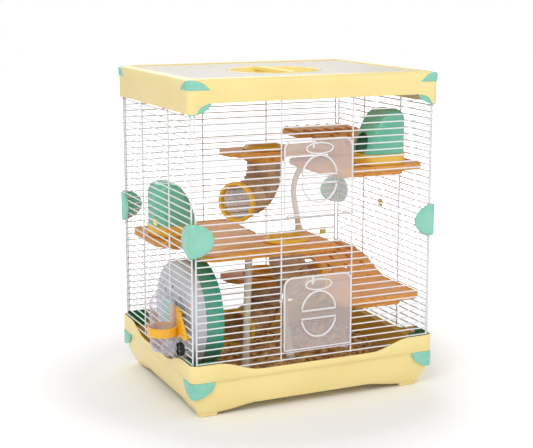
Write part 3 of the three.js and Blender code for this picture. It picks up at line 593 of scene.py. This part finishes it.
def grain_group():
    """Wood grain along X: long rings bent by noise, with fine dark streaks; gives colour and height."""
    group, start, end = node_group(
        "wood_grain", [("Light", COLOUR, None), ("Deep", COLOUR, None), ("Streak", COLOUR, None)],
        [("Colour", COLOUR), ("Height", FLOAT)])
    nodes, link = group.nodes, group.links.new
    where = nodes.new("ShaderNodeTexCoord")
    stretch = nodes.new("ShaderNodeMapping")
    stretch.inputs["Scale"].default_value = (9, 60, 60)
    link(where.outputs["Object"], stretch.inputs["Vector"])
    rings = nodes.new("ShaderNodeTexNoise")
    rings.inputs["Scale"].default_value = 1.6
    rings.inputs["Detail"].default_value = 3
    rings.inputs["Distortion"].default_value = 1.4
    link(stretch.outputs["Vector"], rings.inputs["Vector"])
    lines = nodes.new("ShaderNodeMath")
    lines.operation = "MULTIPLY"
    lines.inputs[1].default_value = 55
    link(rings.outputs["Fac"], lines.inputs[0])
    wave = nodes.new("ShaderNodeMath")
    wave.operation = "SINE"
    link(lines.outputs["Value"], wave.inputs[0])
    tone = nodes.new("ShaderNodeMapRange")
    tone.inputs["From Min"].default_value = -1
    link(wave.outputs["Value"], tone.inputs["Value"])
    board = nodes.new("ShaderNodeMix")
    board.data_type = "RGBA"
    link(tone.outputs["Result"], board.inputs["Factor"])
    link(start.outputs["Light"], board.inputs["A"])
    link(start.outputs["Deep"], board.inputs["B"])
    fine = nodes.new("ShaderNodeTexNoise")
    fine.inputs["Scale"].default_value = 9
    fine.inputs["Detail"].default_value = 6
    link(stretch.outputs["Vector"], fine.inputs["Vector"])
    streak = nodes.new("ShaderNodeMapRange")
    streak.inputs["From Min"].default_value = 0.58
    streak.inputs["From Max"].default_value = 0.7
    link(fine.outputs["Fac"], streak.inputs["Value"])
    mix = nodes.new("ShaderNodeMix")
    mix.data_type = "RGBA"
    link(streak.outputs["Result"], mix.inputs["Factor"])
    link(board.outputs["Result"], mix.inputs["A"])
    link(start.outputs["Streak"], mix.inputs["B"])
    link(mix.outputs["Result"], end.inputs["Colour"])
    link(tone.outputs["Result"], end.inputs["Height"])
    return group


GRAIN = grain_group()


def wood_plastic(name, light, deep, streak):
    """Grained plastic: the grain gives the colour and a shallow relief."""
    material = bpy.data.materials.new(name)
    material.use_nodes = True
    nodes, link = material.node_tree.nodes, material.node_tree.links.new
    shader = nodes["Principled BSDF"]
    grain = nodes.new("ShaderNodeGroup")
    grain.node_tree = GRAIN
    for label, colour in (("Light", light), ("Deep", deep), ("Streak", streak)):
        grain.inputs[label].default_value = (*colour, 1)
    relief = nodes.new("ShaderNodeBump")
    relief.inputs["Strength"].default_value = 0.35
    relief.inputs["Distance"].default_value = 0.0006
    link(grain.outputs["Colour"], shader.inputs["Base Color"])
    link(grain.outputs["Height"], relief.inputs["Height"])
    link(relief.outputs["Normal"], shader.inputs["Normal"])
    shader.inputs["Roughness"].default_value = 0.42
    return material


wood = wood_plastic("wood_plastic", (0.90, 0.42, 0.085), (0.72, 0.30, 0.045), (0.45, 0.16, 0.02))


def board(low, high, radius, top, thick, lip=1.2):
    """A rounded rectangle slab whose upper edge is a small raised lip."""
    rings = [(4, top - thick), (1.2, top - thick), (0.3, top - thick + 1), (0, top - thick + 2.4), (0, top - 1),
             (0.4, top + lip * 0.7), (1.3, top + lip), (2.4, top + lip * 0.6), (3.2, top), (8, top - 0.2)]
    return ring_skin(rings, low, high, radius, closed=False, arc=10, side=6)


def box_mm(node):
    """A CAD node's lowest and highest corners in millimetres from the tray's corner."""
    origin = np.array([TRAY_LOW[0], TRAY_LOW[1], 0])
    return [(np.array(corner) - origin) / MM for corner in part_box(node)]


for shelf in ("left_shelf", "right_shelf", "lower_shelf"):
    low, high = box_mm(shelf)
    top = high[2]
    rib_low, rib_high = low[:2] + (22, 3), high[:2] - (30, 3)
    rib = ring_skin([(1, top - 12), (0, top - 11), (0, top - 6.5)], rib_low, rib_high, 9, closed=False, side=4)
    piece = make_piece(shelf + "_board", *joined(board(low[:2], high[:2], 16, top, 7), rib), wood, "cage",
                       "wood_brown_plastic")
    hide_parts(shelf)
for shelf in ("middle_deck", "lower_dish_deck", "upper_dish_deck", "lower_ramp", "upper_ramp"):
    repaint(shelf, wood)

# A rail round the middle deck: a rounded lip moulded along each edge.
low, high = box_mm("middle_deck")
rail = rounded_ring(low[:2], high[:2], 16, 1.2, arc=10, side=4)
make_piece("middle_deck_rail", *tube_along(np.column_stack([rail, np.full(len(rail), high[2] - 3)]), 3.4, closed=True),
           wood, "cage", "wood_brown_plastic", 80)

# ---- houses ----
# A golden base tray and a hollow green hood that lifts off, with an upright back, round plan
# corners and a top that slopes down to the doorway.
hood_green = moulded("house_green", (0.20, 0.63, 0.44), (0.14, 0.55, 0.37), 0.22, cloud=24, alpha=0.94, coat=0.3)
base_yellow = moulded("house_yellow", (0.95, 0.61, 0.09), (0.91, 0.55, 0.06), 0.3, cloud=24, coat=0.2)
HOUSE, HOUSE_WIDE, HOUSE_ROUND, HOOD_ROUND = 66.0, 56.0, 20.0, 16.0
HOOD_BACK, HOOD_FRONT, DOORWAY_R, DOORWAY_REACH = 2, 64, 17, 30
HOOD_LINE = np.array([(2, 0), (2, 20), (2, 43), (3.5, 50.5), (8, 56), (15, 58.6), (24, 58.6), (33, 56),
                      (41, 50.5), (48, 42), (54, 31), (59, 18), (62, 8), (64, 0)])


def curve_through(points, count):
    """A smooth line through points, by cubic blending between neighbours, sampled evenly by step."""
    points = np.asarray(points, float)
    padded = np.concatenate([[2 * points[0] - points[1]], points, [2 * points[-1] - points[-2]]])
    t = np.linspace(0, len(points) - 1 - 1e-9, count)
    i = t.astype(int)
    f = (t - i)[:, None]
    a, b, c, d = padded[i], padded[i + 1], padded[i + 2], padded[i + 3]
    return 0.5 * (2 * b + (c - a) * f + (2 * a - 5 * b + 4 * c - d) * f**2 + (3 * b - 3 * c + d - a) * f**3)


def hood_surface(flip):
    """The side line carried across the width; the plan's round corners pull it in by r - sqrt(r^2 - d^2)."""
    line = curve_through(HOOD_LINE, 56)
    v = np.sin(np.linspace(-1, 1, 49) * np.pi / 2)
    half = HOUSE_WIDE / 2 - 2
    y = HOUSE_WIDE / 2 + v * half
    into = np.clip(HOOD_ROUND - half * (1 - np.abs(v)), 0, HOOD_ROUND)
    drawn_in = (HOOD_ROUND - np.sqrt(HOOD_ROUND**2 - into**2))[:, None]
    span = HOOD_FRONT - HOOD_BACK
    x = HOOD_BACK + drawn_in + (line[None, :, 0] - HOOD_BACK) * (span - 2 * drawn_in) / span
    z = line[None, :, 1] * (1 - 0.12 * (drawn_in / HOOD_ROUND) ** 1.3)
    points = np.stack([HOUSE - x if flip else x, np.broadcast_to(y[:, None], x.shape), z], -1)
    faces = quads(49, 56).tolist()
    return points.reshape(-1, 3), faces + [list(range(56)), list(range(48 * 56, 49 * 56))[::-1]]


def cut_away(piece, cutter, operation="DIFFERENCE", crease=40):
    """Cuts one piece by another closed mesh, or joins them into one, and removes the other."""
    cut = piece.modifiers.new("cut", "BOOLEAN")
    cut.operation = operation
    cut.object = cutter
    cut.solver = "EXACT"
    shaped = bpy.data.meshes.new_from_object(piece.evaluated_get(bpy.context.evaluated_depsgraph_get()))
    piece.modifiers.clear()
    piece.data = shaped
    shaped.shade_smooth()
    shaped.set_sharp_from_angle(angle=np.radians(crease))
    bpy.data.objects.remove(cutter)


for prefix, flip, body in (("left", False, "left_hood"), ("right", True, "right_hood")):
    low, high = box_mm(f"{prefix}_house_base")
    base_rings = [(5, low[2]), (2, low[2]), (1, low[2] + 1), (0.6, low[2] + 4), (0, high[2] - 2), (-0.8, high[2] - 1.2),
                  (-0.8, high[2] - 0.3), (0, high[2] + 0.2), (3, high[2] + 0.2), (3.6, high[2] - 0.5), (4.4, low[2] + 4),
                  (7, low[2] + 2.6), (12, low[2] + 2.4)]
    base_skin = ring_skin(base_rings, low[:2], high[:2], HOUSE_ROUND, closed=False, arc=10, side=6)
    base = make_piece(f"{prefix}_house_tray", *base_skin, base_yellow, "cage", "yellow_plastic")
    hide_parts(f"{prefix}_house_base")
    points, faces = hood_surface(flip)
    points = points + (low[0], low[1], high[2] + 0.5)
    hood = make_piece(f"{prefix}_hood", points, faces, hood_green, body, "house_green", 45)
    inner = (points - points.mean(0)) * (0.93, 0.93, 0.94) + points.mean(0) - (0, 0, 3.2)
    hollow = make_piece(f"{prefix}_hood_hollow", inner, faces, hood_green, body, "house_green")
    cut_away(hood, hollow)
    slope_x = low[0] + (HOUSE - HOOD_FRONT if flip else HOOD_FRONT)
    door_at = np.array([[slope_x, low[1] + HOUSE_WIDE / 2, high[2] + 11]])
    door_rod = rods(door_at - (DOORWAY_REACH, 0, 0), door_at + (DOORWAY_REACH, 0, 0), DOORWAY_R, 48)
    doorway = make_piece(f"{prefix}_hood_doorway", *door_rod, hood_green, body, "house_green")
    cut_away(hood, doorway)
    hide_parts(f"{prefix}_house_hood")

# ---- crawl tubes ----
# Ribbed see-through brown pipes bent through a right angle, hung from a golden collar in the
# deck and ending in a grooved golden mouth ring.
tube_brown = moulded("tube_plastic", (0.78, 0.50, 0.27), (0.42, 0.21, 0.075), 0.25, cloud=55, alpha=0.62, coat=0.3)
ring_yellow = moulded("ring_yellow", (0.89, 0.52, 0.045), (0.84, 0.46, 0.03), 0.28, cloud=24, coat=0.2)
TUBE_OUTER, TUBE_INNER = 25.0, 22.6
RIB_DEPTH, TUBE_WALL, TUBE_SIDES = 2.2, 1.2, 56


def bend_path(start, bend, mouth, count):
    """A cubic curve that drops straight from the collar and leaves along the line from bend to mouth."""
    a, c, d = (np.array(p, float) for p in (start, bend, mouth))
    b = np.array([a[0], a[1], d[2] + 8])
    t = np.linspace(0, 1, count)[:, None]
    return (1 - t) ** 3 * a + 3 * (1 - t) ** 2 * t * b + 3 * (1 - t) * t**2 * c + t**3 * d


def ribbed_pipe(path, ribs):
    """A thin pipe that swells at each rib by |sin|^0.7, its wall closed at both ends."""
    t = np.linspace(0, 1, len(path))
    outer = TUBE_OUTER - RIB_DEPTH + RIB_DEPTH * np.abs(np.sin(np.pi * ribs * t)) ** 0.7
    shape = (len(path), TUBE_SIDES, 3)
    walls = tube_along(path, outer, TUBE_SIDES)[0].reshape(shape)
    bore = tube_along(path, outer - TUBE_WALL, TUBE_SIDES)[0].reshape(shape)
    return np.concatenate([walls, bore[::-1]]).reshape(-1, 3), quads(2 * len(path), TUBE_SIDES, close_rows=True)


def turned(profile, origin, direction, sides=72):
    """A closed profile of (radius, distance along the axis) turned about the axis."""
    profile = np.asarray(profile, float)
    axis = np.array(direction, float) / np.linalg.norm(direction)
    seed = np.array([0, 0, 1.0]) if abs(axis[2]) < 0.9 else np.array([1.0, 0, 0])
    side = np.cross(seed, axis)
    side /= np.linalg.norm(side)
    other = np.cross(axis, side)
    angle = np.linspace(0, 2 * np.pi, sides, endpoint=False)[:, None]
    spoke = np.cos(angle) * side + np.sin(angle) * other
    points = np.array(origin, float) + profile[:, None, :1] * spoke[None] + profile[:, None, 1:] * axis
    return points.reshape(-1, 3), quads(len(profile), sides, close_rows=True)


TUBES = {
    "lower": ((164, 140, 133), (146, 128, 86), (108, 102, 86), 27.5, 149, 14),
    "upper": ((164, 140, 308), (146, 128, 261), (108, 102, 261), 27.5, 324, 14),
    "middle": ((162, 66, 200), (181, 68, 146), (206, 75, 146), 28.5, 210, 12)}
for name, (start, bend, mouth, mouth_radius, deck, ribs) in TUBES.items():
    pipe = make_piece(f"{name}_pipe", *ribbed_pipe(bend_path(start, bend, mouth, 150), ribs), tube_brown, "cage",
                      "tube_plastic", 60)
    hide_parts(f"{name}_tube")
    under = deck - start[2]
    collar_line = [(TUBE_INNER, -under + 0.3), (26, -under + 0.3), (26, 0.2), (29.6, 0.3), (30.4, 1.2), (30.4, 2.4),
                   (29.6, 3.3), (27.4, 3.6), (26.8, 5.2), (25.4, 6), (23.6, 5.6), (TUBE_INNER, 4.2)]
    collar = make_piece(f"{name}_collar", *turned(collar_line, (start[0], start[1], deck), (0, 0, 1)), ring_yellow,
                        "cage", "yellow_plastic", 50)
    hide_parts(f"{name}_tube_collar")
    r = mouth_radius
    out = np.array(mouth, float) - bend
    mouth_line = [(TUBE_INNER, 0), (r - 1.5, 0), (r - 0.4, 0.5), (r, 1.6), (r - 0.2, 3), (r - 1.4, 3.4), (r - 1.4, 4.6),
                  (r - 0.2, 5), (r, 6.4), (r - 0.6, 7.8), (r - 2, 8.6), (r - 3.6, 8.4), (TUBE_INNER, 7)]
    lip = make_piece(f"{name}_mouth", *turned(mouth_line, mouth, out), ring_yellow, "cage", "yellow_plastic", 50)
    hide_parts(f"{name}_tube_mouth")

# ---- legs ----
# Frosted pillars that prop the decks: one straight with a flared foot, two bowed ones.
frost = moulded("frosted_plastic", (0.80, 0.72, 0.60), (0.73, 0.64, 0.52), 0.4, cloud=40, alpha=0.88)
LEGS = {
    "middle_leg": ([(99, 58, 30.3), (100, 58, 75), (101, 58, 120), (103, 58, 165), (104, 58, 201.7)], 5.0),
    "lower_leg": ([(192, 115, 30.3), (189, 115, 60), (184, 115, 95), (187, 115, 125), (198, 115, 142.7)], 4.0),
    "upper_leg": ([(204, 112, 210.3), (200, 112, 235), (195, 112, 265), (198, 112, 285), (207, 112, 301.7)], 4.0)}
for name, (points, radius) in LEGS.items():
    path = curve_through(points, 60)
    along = np.linspace(0, 1, 60)
    flare = radius * (1 + 0.75 * np.exp(-along * 18) + 0.45 * np.exp(-(1 - along) * 22))
    leg = make_piece(name + "_pillar", *tube_along(path, flare, 20), frost, "cage", "frosted_plastic", 60)
    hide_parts(name)

# ---- running wheel ----
# A shallow grey see-through disc snapped into a green drum, turning on a short axle that is
# clipped to the side wires. Its face has finger slots and stepped rings.
wheel_grey = moulded("wheel_grey", (0.72, 0.73, 0.78), (0.65, 0.66, 0.72), 0.22, cloud=20, alpha=0.84, coat=0.3)
wheel_green = moulded("wheel_green", (0.10, 0.42, 0.27), (0.06, 0.32, 0.20), 0.3, cloud=20, alpha=0.95, coat=0.2)
wheel_rim = moulded("wheel_rim", (0.03, 0.40, 0.30), (0.02, 0.33, 0.25), 0.28, cloud=20, coat=0.2)
disc_low, disc_high = box_mm("wheel_disc")
WHEEL_R = (disc_high[2] - disc_low[2]) / 2
HUB = (disc_low[0], (disc_low[1] + disc_high[1]) / 2, (disc_low[2] + disc_high[2]) / 2)
AXLE = (1, 0, 0)
R = WHEEL_R
disc_line = [(4.4, 0), (9, -0.6), (12, 0), (26, 0), (27, -0.9), (29, -0.9), (30, 0), (50, 0), (51, -0.9), (53, -0.9),
             (54, 0), (R - 8, 0), (R - 4, 0.8), (R - 1, 3.2), (R, 6), (R, 19.4), (R - 0.6, 20), (R - 1.6, 20), (R - 2, 19),
             (R - 2, 7), (R - 5, 3.6), (R - 9, 2.6), (30, 2.6), (8, 2.6), (8, 9), (4.4, 9)]
disc = make_piece("wheel_face", *turned(disc_line, HUB, AXLE, 120), wheel_grey, "wheel", "wheel_grey", 40)
SLOTS = 8
for i in range(SLOTS):
    turn_by = i / SLOTS * 2 * np.pi
    spot = np.array(HUB) + (0, 40 * np.cos(turn_by), 40 * np.sin(turn_by))
    slot_rod = make_piece("slot_cutter", *rods([spot - (6, 0, 0)], [spot + (8, 0, 0)], 3.4, 20), wheel_grey, "wheel",
                          "wheel_grey")
    cut_away(disc, slot_rod)
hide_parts("wheel_disc")
drum_line = [(R - 4.6, 0), (R - 2.4, 0), (R - 2.4, 8.3), (R - 0.4, 8.3), (R, 9), (R, 26), (R - 4.6, 26)]
drum_origin = (disc_low[0] + 12, HUB[1], HUB[2])
drum = make_piece("wheel_barrel", *turned(drum_line, drum_origin, AXLE, 120), wheel_green, "wheel", "wheel_green", 40)
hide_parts("wheel_drum")
rim_line = [(R - 5.4, 25.6), (R + 0.3, 25.6), (R + 0.5, 28), (R + 0.3, 31), (R - 0.8, 32), (R - 5, 32), (R - 6, 31),
            (R - 6, 27)]
make_piece("wheel_rim", *turned(rim_line, drum_origin, AXLE, 120), wheel_rim, "wheel", "wheel_green", 50)
treads = np.linspace(0, 2 * np.pi, 60, endpoint=False)
tread_ring = np.column_stack([np.zeros(60), np.cos(treads), np.sin(treads)]) * (R - 4.9) + HUB
make_piece("wheel_treads", *rods(tread_ring + (14, 0, 0), tread_ring + (37, 0, 0), 0.9, 6), wheel_green, "wheel",
           "wheel_green")
for name in ("wheel_axle", "wheel_bracket"):
    repaint(name, teal)

# ---- water bottle ----
# A clear upright flask with a domed top and a round toe, its black ribbed cap and steel spout
# pushed through the wires, held by a golden ring on a toothed plate hooked over the wires.
bottle_clear = moulded("bottle_clear", (0.66, 0.61, 0.74), (0.58, 0.53, 0.68), 0.08, cloud=10, alpha=0.26, coat=0.6)
clear_nodes, clear_link = bottle_clear.node_tree.nodes, bottle_clear.node_tree.links.new
rim_light = clear_nodes.new("ShaderNodeLayerWeight")
rim_alpha = clear_nodes.new("ShaderNodeMapRange")
rim_alpha.inputs["From Min"].default_value = 0.15
rim_alpha.inputs["To Min"].default_value = 0.16
rim_alpha.inputs["To Max"].default_value = 0.85
clear_link(rim_light.outputs["Facing"], rim_alpha.inputs["Value"])
clear_link(rim_alpha.outputs["Result"], clear_nodes["Principled BSDF"].inputs["Alpha"])
water = moulded("bottle_water", (0.72, 0.66, 0.72), (0.64, 0.58, 0.66), 0.05, cloud=10, alpha=0.14)
cap_black = moulded("black_plastic", (0.012, 0.012, 0.013), (0.02, 0.02, 0.022), 0.38)
holder_yellow = moulded("holder_yellow", (0.93, 0.50, 0.03), (0.88, 0.43, 0.02), 0.26, cloud=24, coat=0.3)
BOTTLE = np.array([-17.7, 57.5])
BOTTLE_R, BOTTLE_FOOT, BOTTLE_TOP = 16.2, 82.0, 161.0
TOE, TOE_R = (-15, 41, 90.6), 10.5
side_line = curve_through([
    (9, BOTTLE_FOOT), (13.4, BOTTLE_FOOT + 2.6), (15.8, BOTTLE_FOOT + 8), (BOTTLE_R, BOTTLE_FOOT + 16), (BOTTLE_R, 120),
    (BOTTLE_R, 143), (15.2, 150), (12, 155.6), (7, 159.6), (2.5, 160.9)], 70)
flask_line = np.concatenate([[(0.01, BOTTLE_FOOT)], side_line, [(0.01, BOTTLE_TOP)]])
bottle = make_piece("bottle_flask", *turned(flask_line, (*BOTTLE, 0), (0, 0, 1), 64), bottle_clear, "bottle",
                    "bottle_clear", 60)
toe_turn = np.linspace(0.02, np.pi - 0.02, 24)
toe_line = np.column_stack([TOE_R * np.sin(toe_turn), -TOE_R * np.cos(toe_turn)])
toe = make_piece("bottle_toe", *turned(toe_line, TOE, (0, 0, 1), 48), bottle_clear, "bottle", "bottle_clear", 60)
cut_away(bottle, toe, "UNION", 60)
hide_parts("bottle_body")
water_line = [(0.01, 84), (11, 84.6), (14.2, 91), (14.6, 98), (14.6, 112), (0.01, 112)]
make_piece("bottle_water", *turned(water_line, (*BOTTLE, 0), (0, 0, 1), 48), water, "bottle", "bottle_clear", 40)
NECK = (0, 36, LOWER_ROW + 2.5 * PITCH)
ribs = 28
cap_line = [(3.4, -3.1), (7.2, -3.1), (7.2, -5), (8.2, -5), (8.8, -4.4), (8.8, 0.8), (8.2, 1.7), (6, 2.1), (3.4, 2.1)]
cap_points, cap_faces = turned(cap_line, NECK, AXLE, 112)
grooves = np.linspace(0, 2 * np.pi, 112, endpoint=False)
from_axis = cap_points - NECK
wide = np.hypot(from_axis[:, 1], from_axis[:, 2]) > 7.6
ripple = np.where(wide, 1 - 0.035 * (np.cos(ribs * np.tile(grooves, 9)) > 0), 1.0)
cap_points = NECK + from_axis * np.column_stack([np.ones_like(ripple), ripple, ripple])
cap = make_piece("bottle_cap_ribbed", cap_points, cap_faces, cap_black, "bottle_cap", "black_plastic", 30)
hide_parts("bottle_cap")
steel = bpy.data.materials.new("spout_steel")
steel.use_nodes = True
steel_nodes, steel_link = steel.node_tree.nodes, steel.node_tree.links.new
steel_shader = steel_nodes["Principled BSDF"]
steel_shader.inputs["Base Color"].default_value = (0.72, 0.72, 0.74, 1)
steel_shader.inputs["Metallic"].default_value = 1
brushed = steel_nodes.new("ShaderNodeTexNoise")
brushed.inputs["Scale"].default_value = 900
satin = steel_nodes.new("ShaderNodeMapRange")
satin.inputs["To Min"].default_value = 0.18
satin.inputs["To Max"].default_value = 0.34
steel_link(steel_nodes.new("ShaderNodeTexCoord").outputs["Object"], brushed.inputs["Vector"])
steel_link(brushed.outputs["Fac"], satin.inputs["Value"])
steel_link(satin.outputs["Result"], steel_shader.inputs["Roughness"])
spout_line = [(1.6, -3), (3, -3), (3, 7.2), (2.7, 8.4), (2.2, 9.4), (1.6, 9.5)]
spout = make_piece("bottle_spout_tube", *turned(spout_line, NECK, AXLE, 40), steel, "bottle_cap", "steel")
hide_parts("bottle_spout")

BAND_LOW, BAND_HIGH, RING_R = 104, 116, 19.6
PLATE_BACK, PLATE_FACE, TEETH = -1.4, 1.9, 6
band_line = [
    (BOTTLE_R + 0.5, BAND_LOW + 0.8), (BOTTLE_R + 1.3, BAND_LOW), (RING_R - 0.8, BAND_LOW), (RING_R, BAND_LOW + 0.8),
    (RING_R, BAND_HIGH - 0.8), (RING_R - 0.8, BAND_HIGH), (BOTTLE_R + 1.3, BAND_HIGH), (BOTTLE_R + 0.5, BAND_HIGH - 0.8)]
band = turned(band_line, (*BOTTLE, 0), (0, 0, 1), 80)
plate_line = np.array([(20, 104), (20, 112), (25, 116), (44, 138), (48, 140), (74, 140), (76, 138), (76, 102), (74, 100),
                       (42, 100), (38, 104)])


def beside(x, spots):
    """Points at one x and a list of (y, z) spots."""
    return np.column_stack([np.full(len(spots), x), spots])


corners = len(plate_line)
plate_points = np.concatenate([beside(PLATE_BACK, plate_line), beside(PLATE_FACE, plate_line)])
plate = plate_points, quads(2, corners).tolist() + [list(range(corners)), list(range(corners, 2 * corners))]
teeth_at = np.linspace(0, 1, TEETH)[:, None] * (20, 25) + (24, 113)
teeth = rods(beside(-2.6, teeth_at), beside(PLATE_FACE, teeth_at), 1.7, 10)
low_prong, high_prong = LOWER_ROW + 4.5 * PITCH, LOWER_ROW + 7.5 * PITCH
hook_at = np.array([(24, low_prong), (44, low_prong), (70, low_prong), (48, high_prong), (70, high_prong)])
hooks = rods(beside(1, hook_at), beside(8, hook_at), 2, 12)
holder = make_piece("bottle_band", *joined(band, plate, teeth, hooks), holder_yellow, "bottle", "yellow_plastic", 40)
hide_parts("bottle_holder")

# ---- lid ----
# A cream moulded frame with a tall band that grips the panels, a see-through milky window let
# into its top, and a golden hand grip sunk in the middle under a bar.
LID_LOW, LID_HIGH = box_mm("lid_frame")
LID_TOP = LID_HIGH[2]
LID_SIDE_FOOT, LID_FRONT_FOOT = LID_LOW[2], LID_LOW[2] + 13
CURVE_START, CURVE_LENGTH = 10, 23


def band_foot(outer):
    """The band's lower edge: higher along the front and back by h sqrt(1 - (1 - t)^2)."""
    near_corner = np.minimum(outer[:, 0], WIDTH - outer[:, 0])
    t = np.clip((near_corner - CURVE_START) / CURVE_LENGTH, 0, 1)
    return LID_SIDE_FOOT + (LID_FRONT_FOOT - LID_SIDE_FOOT) * np.sqrt(1 - (1 - t) ** 2)


LID_RINGS = [
    (0.3, band_foot), (0, lambda p: band_foot(p) + 0.8), (0, LID_TOP - 9), (0.4, LID_TOP - 6.5), (1.3, LID_TOP - 4),
    (2.8, LID_TOP - 2), (4.8, LID_TOP - 0.6), (7, LID_TOP), (13.2, LID_TOP), (14, LID_TOP - 0.8), (14, LID_TOP - 4),
    (19, LID_TOP - 4), (19, LID_TOP - 6), (6, LID_TOP - 6), (1.2, LID_TOP - 11), (1.2, lambda p: band_foot(p) + 0.4)]
lid_points, lid_faces = ring_skin(LID_RINGS, (0, 0), (WIDTH, DEPTH), 10, closed=True, arc=10, side=60)
lid = make_piece("lid_shell", lid_points, lid_faces, cream, "lid", "cream_plastic", 40)
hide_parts("lid_frame")

window_milk = moulded("lid_window", (0.90, 0.83, 0.73), (0.85, 0.77, 0.66), 0.3, cloud=8, alpha=0.92, coat=0.3)
repaint("lid_window", window_milk)
grip_low, grip_high = box_mm("carrying_grip")
FLANGE = 4
G = (grip_high[0] - grip_low[0]) / 2 - FLANGE
grip_centre = ((grip_low[0] + grip_high[0]) / 2, (grip_low[1] + grip_high[1]) / 2, LID_TOP)
grip_line = [(0.01, -17), (G - 14, -17), (G - 4, -12), (G - 1, -7), (G + FLANGE, -7), (G + FLANGE, -4.3), (G - 0.4, -4.3),
             (G - 0.4, -1.6), (G - 1.4, -1.1), (G - 3, -1.6), (G - 7, -10), (G - 14, -14.5), (0.01, -14.6)]
BAR_HALF = np.array([5, G - 3])
bar_low, bar_high = np.array(grip_centre[:2]) - BAR_HALF, np.array(grip_centre[:2]) + BAR_HALF
grip_bar = ring_skin([(1.2, LID_TOP - 5), (0.4, LID_TOP - 4.4), (0, LID_TOP - 3), (0, LID_TOP - 1), (0.6, LID_TOP),
                      (2, LID_TOP + 0.3)], bar_low, bar_high, 4, closed=False, arc=5, side=3)
grip_gold = moulded("grip_gold", (0.95, 0.78, 0.27), (0.92, 0.73, 0.22), 0.35, cloud=24)
grip = make_piece("grip_dish", *joined(turned(grip_line, grip_centre, (0, 0, 1), 96), grip_bar), grip_gold, "lid",
                  "yellow_plastic", 40)
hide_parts("carrying_grip")

# ---- small fittings ----
# Dark green pads inside the tray's corners, painted shade in the colour of the corner clips' shaded inner side, and
# little golden clips that pin shelves to wires.
# Painted shade: the pads' dark green copies the shaded inner side of the corner clips; they stand where there is only
# shade.
painted_shade_pad_green = moulded("corner_shade_pad", (0.0, 0.26, 0.09), (0.0, 0.20, 0.07), 0.3, coat=0.2)
PAD_INSET, PAD_RINGS = 5.6, [(1, 56), (0.3, 56.6), (0, 58), (0, 74), (0.4, 76), (1, 77)]
for corner, side in CORNERS.items():
    for way, reach in (("x", (36, 8.4)), ("y", (8.4, 36))):
        pad_points, pad_faces = ring_skin(
            PAD_RINGS, (PAD_INSET, PAD_INSET), reach, 1.4, closed=False, arc=4, side=3)
        make_piece(f"corner_shade_pad_{corner}_{way}", to_corner(pad_points, side), pad_faces, painted_shade_pad_green, "cage",
                   "teal_plastic")
clip_yellow = moulded("clip_yellow", (0.90, 0.76, 0.20), (0.85, 0.70, 0.15), 0.3)
SHELF_CLIPS = {"back": (325.5, 276.5, 170), "right": (349.6, 141.5, 235), "left": (5.4, 144.5, 234)}
for name, (x, y, z) in SHELF_CLIPS.items():
    half = (5.5, 1.3) if name == "back" else (1.3, 5.5)
    clip_points, clip_faces = ring_skin(
        [(0.6, z - 5), (0, z - 4.3), (0, z + 4.3), (0.6, z + 5)], (x - half[0], y - half[1]), (x + half[0], y + half[1]),
        1.2, closed=False, arc=4, side=2)
    make_piece(f"shelf_clip_{name}", clip_points, clip_faces, clip_yellow, "cage", "yellow_plastic")
